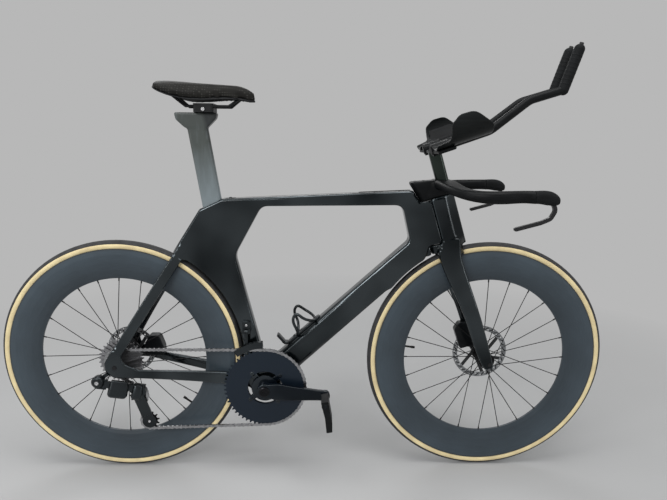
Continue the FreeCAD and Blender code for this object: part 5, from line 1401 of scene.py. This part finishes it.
@dataclass
class Wheel:
    """One wheel: tyre, rim, spokes with nipples, hub, rotor and valve."""

    side: str
    axle: Axle
    rotor_reach: float
    rotor_face: float
    rotor_band: float = 0.0145
    nipple: Outline = ((0, 0), (0.00133, 0), (0.0019, 0.001), (0.0019, 0.011), (0, 0.011))
    nipple_inward: float = 0.01
    ring: Outline = ((0.0095, 0), (0.0095, 0.0022), (0.0125, 0.0022), (0.013, 0.0016), (0.0165, 0.0016),
                     (0.0172, 0.001), (0.0172, 0))

    def spoke_ends(self) -> list[tuple[Vector, Vector]]:
        """Find each spoke's outer end and its direction.

        Returns:
            Pairs of an end point and an outward direction.
        """
        shape = merged((self.side + "_spokes",))
        hub = Vector((self.axle.value[0], 0, self.axle.value[1]))
        left = set(shape.verts)
        ends = []
        while left:
            group = [left.pop()]
            for vertex in group:
                for edge in vertex.link_edges:
                    other = edge.other_vert(vertex)
                    if other in left:
                        left.remove(other)
                        group.append(other)
            spots = sorted((vertex.co.copy() for vertex in group), key=lambda spot: (spot - hub).length)
            few = max(len(spots) // 3, 1)
            inner = sum(spots[:few], Vector()) / few
            outer = sum(spots[-few:], Vector()) / few
            ends.append((outer, (outer - inner).normalized()))
        shape.free()
        return ends

    def nipples(self) -> None:
        """Add a nipple where each spoke enters the rim."""
        form = Form(self.side + "_nipples")
        for end, way in self.spoke_ends():
            form.lathe(self.nipple, end - way * self.nipple_inward, way, steps=8)
        black = Metal(self.side + "_nipple_black", (0.03, 0.03, 0.032), 0.36).build()
        form.done(black, self.side + "_wheel")

    def lock_ring(self) -> None:
        """Add the stepped ring that holds the rotor."""
        form = Form(self.side + "_lock_ring")
        x, z = self.axle.value
        form.lathe(self.ring, (x, self.rotor_face, z), ACROSS, steps=32)
        black = TurnedMetal(self.side + "_lock_black", (0.03, 0.03, 0.032), self.axle).build()
        form.done(black, self.side + "_wheel")

    def build(self) -> None:
        """Dress the wheel."""
        side = self.side
        axle = self.axle
        dress(TyreRubber(side + "_tyre_rubber", axle), side + "_tyre")
        dress(RimCarbon(side + "_rim_slate", axle), side + "_rim")
        dress(TurnedMetal(side + "_hub_black", (0.02, 0.02, 0.021), axle, 0.35), side + "_hub")
        dress(Metal(side + "_spoke_black", (0.025, 0.025, 0.026), 0.4), side + "_spokes")
        band = (self.rotor_reach - self.rotor_band, self.rotor_reach)
        dress(RotorSteel(side + "_rotor_steel", axle, band), side + "_rotor")
        dress(Metal(side + "_valve_black", (0.03, 0.03, 0.03)), side + "_valve")
        dress(Metal(side + "_axle_dark", (0.04, 0.04, 0.042)), side + "_axle")
        self.nipples()
        self.lock_ring()


@dataclass
class DriveTrain:
    """Cranks, rings, chain, cassette and both derailleurs with their small bolts."""

    crank_face: float = -0.0725
    cap_outline: Outline = ((0, 0.001), (0.005, 0.001), (0.0055, 0.0022), (0.0125, 0.0026), (0.0145, 0.0012),
                            (0.0145, -0.001))
    link_root: Point = (-0.546, -0.08, 0.292)
    link_tip: Point = (-0.4744698, -0.0627228, 0.2730019)
    link_axis: Point = (0.1632, 0.342, 0.9254)
    link_size: Point = (0.052, 0.026, 0.047)
    link_out: float = 0.004
    knuckle_size: Point = (0.03, 0.022, 0.046)
    knuckle_on: float = 0.012
    knuckle_out: float = 0.002
    cover_drop: float = 0.009
    cover_edge: float = 0.011
    knuckle_edge: float = 0.0099
    cover_sharp: float = 60.0
    mount_at: Point = (-0.561, -0.082, 0.301)
    mount_outline: Outline = ((0, 0.0125), (0.012, 0.0125), (0.0165, 0.008), (0.0165, -0.008),
                              (0.012, -0.0125), (0, -0.0125))
    foot_face: float = -0.0496
    foot_outline: Outline = ((0.005, 0), (0.019, 0), (0.0195, 0.0006), (0.0195, 0.002), (0.005, 0.0026))
    arm_growth: float = 0.42
    arm_end: float = 0.75
    arm_rise: Span = (0.0, 0.05)
    arm_fall: Span = (0.1, 0.17)
    arm_face: float = -0.054
    arm_voxel: float = 0.0014
    pedal: Span = (0.056476, 0.250662)
    spider_face: float = -0.0475
    spider_outline: Outline = ((0.014, 0), (0.0375, 0), (0.038, 0.0006), (0.0372, 0.0022), (0.014, 0.0034))
    cage_face: float = -0.0512
    cage_bolt: Span = (0.0036, 0.0014)
    pin: Span = (0.0036, 0.001)
    pin_from: float = 0.05
    mount_bolt: Span = (0.0055, 0.0012)
    mount_face: float = -0.0945
    front_bolt: Span = (0.0034, 0.0012)
    front_bolt_up: float = 0.006
    outside: float = -0.2

    def cap(self) -> None:
        """Add the crank's preload cap."""
        x, z = Axle.CRANK.value
        form = Form("crank_cap")
        form.lathe(self.cap_outline, (x, self.crank_face, z), -ACROSS, steps=32)
        black = TurnedMetal("cap_black", (0.02, 0.02, 0.022), Axle.CRANK, 0.28).build()
        form.done(black, "crank")

    def covers(self, black: Material) -> None:
        """Add the moulded covers of the rear derailleur.

        Args:
            black: Their material.
        """
        root = Vector(self.link_root)
        tip = Vector(self.link_tip)
        way = (tip - root).normalized()
        axis = Vector(self.link_axis).normalized()
        side = axis.cross(way).normalized()
        axes = Matrix((way, side, axis)).transposed().to_4x4()
        middle = (root + tip) / 2 - side * self.link_out - axis * self.cover_drop
        form = Form("link_cover")
        form.block(self.link_size, Matrix.Translation(middle) @ axes, self.cover_edge)
        form.done(black, "derailleur_link", self.cover_sharp)
        middle = tip + way * self.knuckle_on - side * self.knuckle_out - axis * self.cover_drop
        form = Form("knuckle_cover")
        form.block(self.knuckle_size, Matrix.Translation(middle) @ axes, self.knuckle_edge)
        form.done(black, "derailleur_knuckle", self.cover_sharp)
        form = Form("mount_cover")
        form.lathe(self.mount_outline, self.mount_at, ACROSS, steps=32)
        form.done(black, "frame", self.cover_sharp)
        x, z = Axle.TENSION.value
        form = Form("cage_foot")
        form.lathe(self.foot_outline, (x, self.foot_face, z), -ACROSS, steps=40)
        form.done(black, "derailleur_cage")

    def broad_arm(self, points: np.ndarray) -> np.ndarray:
        """Widen the crank arm between the spindle and the pedal.

        Args:
            points: One row of coordinates for each point.

        Returns:
            The moved points.
        """
        x, z = Axle.CRANK.value
        pedal = np.array((self.pedal[0] - x, self.pedal[1] - z))
        way = pedal / np.linalg.norm(pedal)
        across = np.array((-way[1], way[0]))
        flat = points[:, (0, 2)] - np.array((x, z))
        along = flat @ way
        off = flat @ across
        growth = rising(along, *self.arm_rise) * (1 - self.arm_end * rising(along, *self.arm_fall))
        moved = off * self.arm_growth * growth * (points[:, 1] < self.arm_face)
        points[:, 0] += moved * across[0]
        points[:, 2] += moved * across[1]
        return points

    def crank_arm(self, paint: Material) -> None:
        """Add the right crank arm's moulded skin and the ring behind its spider.

        Args:
            paint: The crank's paint.
        """
        skin = Shell("crank_skin", ("crank_arm_right",), "crank", "crank_black", self.arm_voxel, passes=5,
                     shaping=self.broad_arm)
        skin.build(paint)
        x, z = Axle.CRANK.value
        form = Form("spider_ring")
        form.lathe(self.spider_outline, (x, self.spider_face, z), -ACROSS, steps=48)
        form.done(paint, "crank")

    def bolts(self) -> None:
        """Add the bright bolts of the pulley cage and the pins of the parallelogram."""
        bright = BRIGHT.build()
        form = Form("pulley_bolts")
        for axle in (Axle.GUIDE, Axle.TENSION):
            form.bolt((axle.value[0], self.cage_face, axle.value[1]), -ACROSS, *self.cage_bolt)
        form.done(bright, "derailleur_cage")
        axis = Vector(self.link_axis)
        start = axis * self.pin_from
        form = Form("mount_pins")
        form.bolt(Surface("derailleur_mount").hit(Vector(self.link_root) + start, -axis), axis, *self.pin)
        form.bolt((self.mount_at[0], self.mount_face, self.mount_at[2]), -ACROSS, *self.mount_bolt)
        form.done(bright, "frame")
        form = Form("knuckle_pins")
        form.bolt(Surface("derailleur_knuckle").hit(Vector(self.link_tip) + start, -axis), axis, *self.pin)
        form.done(bright, "derailleur_knuckle")
        low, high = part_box("front_derailleur_body")
        middle = (low + high) / 2
        face = Surface("front_derailleur_body")
        spot = face.hit((middle.x, self.outside, middle.z + self.front_bolt_up), ACROSS)
        form = Form("front_derailleur_bolt")
        form.bolt(spot, -ACROSS, *self.front_bolt)
        form.done(bright, "frame")

    def build(self) -> None:
        """Dress the drive train."""
        dress(TurnedMetal("freehub_grey", (0.2, 0.2, 0.2), Axle.REAR), "freehub")
        dress(TurnedMetal("cassette_plated", (0.3, 0.3, 0.31), Axle.REAR), "cassette")
        dress(Metal("chain_plated", (0.36, 0.36, 0.37), 0.28, (14, 14, 14)), "chain")
        ring = TurnedMetal("ring_blue", (0.008, 0.016, 0.028), Axle.CRANK, 0.36, metallic=0.4)
        dress(ring, "chainring_large", "chainring_small")
        paint = dress(GlossPaint("crank_gloss", (0.002, 0.0035, 0.006), specular=0.35), "crank_arm_left")
        self.crank_arm(paint)
        dress(Moulding("pedal_matt", BLACK), "pedal_left", "pedal_right")
        black = dress(GlossPaint("derailleur_satin", (0.003, 0.0034, 0.004), roughness=0.3, specular=0.25),
                      "derailleur_mount", "derailleur_link", "derailleur_knuckle", "derailleur_cage",
                      "derailleur_hanger", "front_derailleur_body", "front_derailleur_cage")
        dress(Moulding("pulley_matt", BLACK), "guide_pulley", "tension_pulley")
        self.cap()
        self.covers(black)
        self.bolts()


@dataclass
class Caliper:
    """One brake caliper with its two mounting bolts."""

    node: str
    body: str
    spread: Span
    voxel: float = 0.0011
    bolt: Span = (0.0042, 0.0014)
    outside: float = 0.1
    reach: float = 0.05

    def skin(self, paint: Material) -> None:
        """Make the moulded body.

        Args:
            paint: Its paint.
        """
        skin = Shell(self.node + "_skin", (self.node,), self.body, "caliper_black", self.voxel, passes=6)
        skin.build(paint)

    def bolts(self, dark: Material) -> None:
        """Add the bolts where they meet the outer face.

        Args:
            dark: Their material.
        """
        low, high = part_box(self.node)
        middle = (low + high) / 2
        size = high - low
        face = Surface(self.node)
        form = Form(self.node + "_bolts")
        for sense in (-1, 1):
            x = middle.x - sense * size.x * self.spread[0]
            z = middle.z + sense * size.z * self.spread[1]
            spot = face.hit((x, high.y + self.outside, z), -ACROSS)
            if spot.y < high.y + self.reach:
                form.bolt(spot, ACROSS, *self.bolt)
        form.done(dark, self.body)


@dataclass
class Brakes:
    """Front and rear calipers."""

    front: Span = (0.12, 0.27)
    rear: Span = (0.24, 0.06)

    def build(self) -> None:
        """Dress the brakes."""
        calipers = (Caliper("front_caliper", "steering", self.front),
                    Caliper("rear_caliper", "frame", self.rear))
        paint = GlossPaint("caliper_gloss", (0.003, 0.0033, 0.0038), roughness=0.34, specular=0.25).build()
        for caliper in calipers:
            caliper.skin(paint)
        dark = DARK_BOLT.build()
        for caliper in calipers:
            caliper.bolts(dark)


@dataclass
class Cockpit:
    """Stem and base bar as one skin, hoods, levers, armrests, extensions and grips."""

    bar_voxel: float = 0.0016
    ridge_from: float = 0.016
    ridge_gap: float = 0.0105
    ridge_count: int = 8
    grip_radius: float = 0.0135
    ridge: Outline = ((0.0131, -0.003), (0.0137, -0.0018), (0.0139, 0), (0.0137, 0.0018), (0.0131, 0.003))
    ridge_sharp: float = 60.0
    bridge_bolt: Span = (0.0038, 0.0014)
    bridge_sides: Span = (0.05, 0.1)
    stem_bolt: Span = (0.0038, 0.0012)
    stem_shares: Span = (0.12, 0.3)
    outside: float = 0.1
    reach: float = 0.05
    apex: Point = (0.6983, 0.028, 1.19456)
    grip_way: Point = (0.3007, 0, 0.9537)

    def ridges(self) -> None:
        """Add the raised rings of both grips."""
        form = Form("grip_ridges")
        way = Vector(self.grip_way)
        for sense in (-1, 1):
            top = Vector((self.apex[0], sense * self.apex[1], self.apex[2])) - way * self.grip_radius
            for place in range(self.ridge_count):
                form.lathe(self.ridge, top - way * (self.ridge_from + place * self.ridge_gap), way, steps=28)
        form.done(Rubber("ridge_rubber", BLACK).build(), "aerobar", self.ridge_sharp)

    def bridge_bolts(self) -> None:
        """Add the clamp bolts under the armrest bridge."""
        low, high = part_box("aerobar_bridge")
        under = Surface("aerobar_bridge")
        form = Form("bridge_bolts")
        for sense in (-1, 1):
            for side in self.bridge_sides:
                spot = under.hit(((low.x + high.x) / 2, sense * side, low.z - self.outside), -DOWN)
                if spot.z > low.z - self.reach:
                    form.bolt(spot, DOWN, *self.bridge_bolt)
        form.done(DARK_BOLT.build(), "aerobar")

    def stem_bolts(self) -> None:
        """Add the two bolts of the stem's top cover."""
        stem = Surface("stem")
        form = Form("stem_bolts")
        low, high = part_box("stem")
        for share in self.stem_shares:
            spot = stem.hit((low.x + (high.x - low.x) * share, 0, high.z + self.outside), DOWN)
            form.bolt(spot, -DOWN, *self.stem_bolt)
        form.done(DARK_BOLT.build(), "steering")

    def build(self) -> None:
        """Dress the cockpit."""
        matt = Moulding("bar_matt", BLACK, 0.42, specular=0.12).build()
        bar = Shell("bar_skin", ("stem", "base_bar"), "steering", "cockpit_black", self.bar_voxel, passes=8,
                    hollow=0.006)
        bar.build(matt)
        dress(Moulding("bridge_matt", BLACK, 0.42, specular=0.12), "aerobar_bridge", "extensions")
        dress(GlossPaint("riser_paint", (0.004, 0.0055, 0.0045), tint=(0.75, 1.0, 0.85)), "riser_post")
        rubber = Rubber("hood_grip", BLACK).build()
        Shell("hood_skin", ("brake_hoods",), "steering", "hood_rubber", voxel=0.0011, passes=3).build(rubber)
        dress(Rubber("grip_rubber", BLACK), "extension_grips")
        lever = Metal("lever_dark", (0.024, 0.024, 0.026), 0.3, metallic=0.5)
        dress(lever, "brake_lever_left", "brake_lever_right")
        dress(Moulding("button_matt", (0.03, 0.03, 0.03)), "shift_button_left", "shift_button_right")
        satin = Moulding("cup_satin", (0.007, 0.0082, 0.0084), 0.36, specular=0.16).build()
        Shell("cup_skin", ("armrest_cups",), "aerobar", "armrest_shell", voxel=0.0014).build(satin)
        foam = Rubber("foam_black", (0.009, 0.0095, 0.01), 900, 0.0003).build()
        Cushion("pad_foam", "armrest_pads", "aerobar", "foam", voxel=0.004, cap=0.0012).build(foam)
        self.ridges()
        self.bridge_bolts()
        self.stem_bolts()


@dataclass
class Seat:
    """Seatpost, clamp, rails and the padded saddle."""

    bolt: Span = (0.0048, 0.0016)
    face_depth: float = 0.0004
    nose_from: float = -0.182
    nose_tip: float = -0.131
    nose_drop: float = 0.009
    nose_narrow: float = 0.35

    def nose(self, points: np.ndarray) -> np.ndarray:
        """Bend the saddle's nose down and round its end.

        Args:
            points: One row of coordinates for each point.

        Returns:
            The moved points.
        """
        share = np.clip((points[:, 0] - self.nose_from) / (self.nose_tip - self.nose_from), 0, 1)
        points[:, 2] -= self.nose_drop * share ** 2
        points[:, 1] *= 1 - self.nose_narrow * share ** 5
        return points

    def clamp_bolts(self) -> None:
        """Add the bright ends of the clamp's cross bolt."""
        low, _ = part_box("saddle_clamp")
        corners = [vertex.co for vertex in NODES["saddle_clamp"].data.vertices]
        spots = [corner for corner in corners if corner.y < low.y + self.face_depth]
        middle = sum(spots, Vector()) / len(spots)
        form = Form("clamp_bolt_ends")
        for sense in (-1, 1):
            at = Vector((middle.x, sense * abs(low.y), middle.z))
            form.bolt(at, ACROSS * sense, *self.bolt)
        form.done(BRIGHT.build(), "seatpost")

    def build(self) -> None:
        """Dress the seat."""
        post = Shell("post_skin", ("seatpost",), "seatpost", "post_carbon", voxel=0.0019, passes=8,
                     hollow=0.003)
        post.build(PostSatin("post_satin").build())
        base = Shell("shell_skin", ("saddle_shell",), "seatpost", "saddle_base", voxel=0.0011, passes=3,
                     shaping=self.nose)
        base.build(Moulding("shell_black", BLACK).build())
        dress(Moulding("rail_black", BLACK, 0.4), "saddle_rails")
        dress(Moulding("clamp_black", (0.012, 0.0125, 0.013), 0.4), "saddle_clamp")
        pad = Cushion("saddle_pad", "saddle_cover", "seatpost", "saddle_skin", voxel=0.004, shaping=self.nose)
        pad.build(SaddleSkin("saddle_grain").build())
        self.clamp_bolts()


@dataclass
class BottleHolder:
    """The bottle cage."""

    roughness: float = 0.3
    swell: float = 0.0018

    def build(self) -> None:
        """Dress the cage."""
        paint = GlossPaint("cage_gloss", (0.005, 0.0055, 0.006), self.roughness, specular=0.3).build()
        cage = Shell("cage_skin", ("bottle_cage",), "frame", "cage_carbon", voxel=0.0014, swell=self.swell)
        cage.build(paint)


def main() -> None:
    """Build the studio and every sub-assembly."""
    logging.basicConfig(level=logging.INFO)
    Studio().build()
    FrameSet().build()
    Wheel("front", Axle.FRONT, rotor_reach=0.08, rotor_face=0.042).build()
    Wheel("rear", Axle.REAR, rotor_reach=0.07, rotor_face=0.058).build()
    DriveTrain().build()
    Brakes().build()
    Cockpit().build()
    Seat().build()
    BottleHolder().build()


if __name__ == "__main__":
    main()
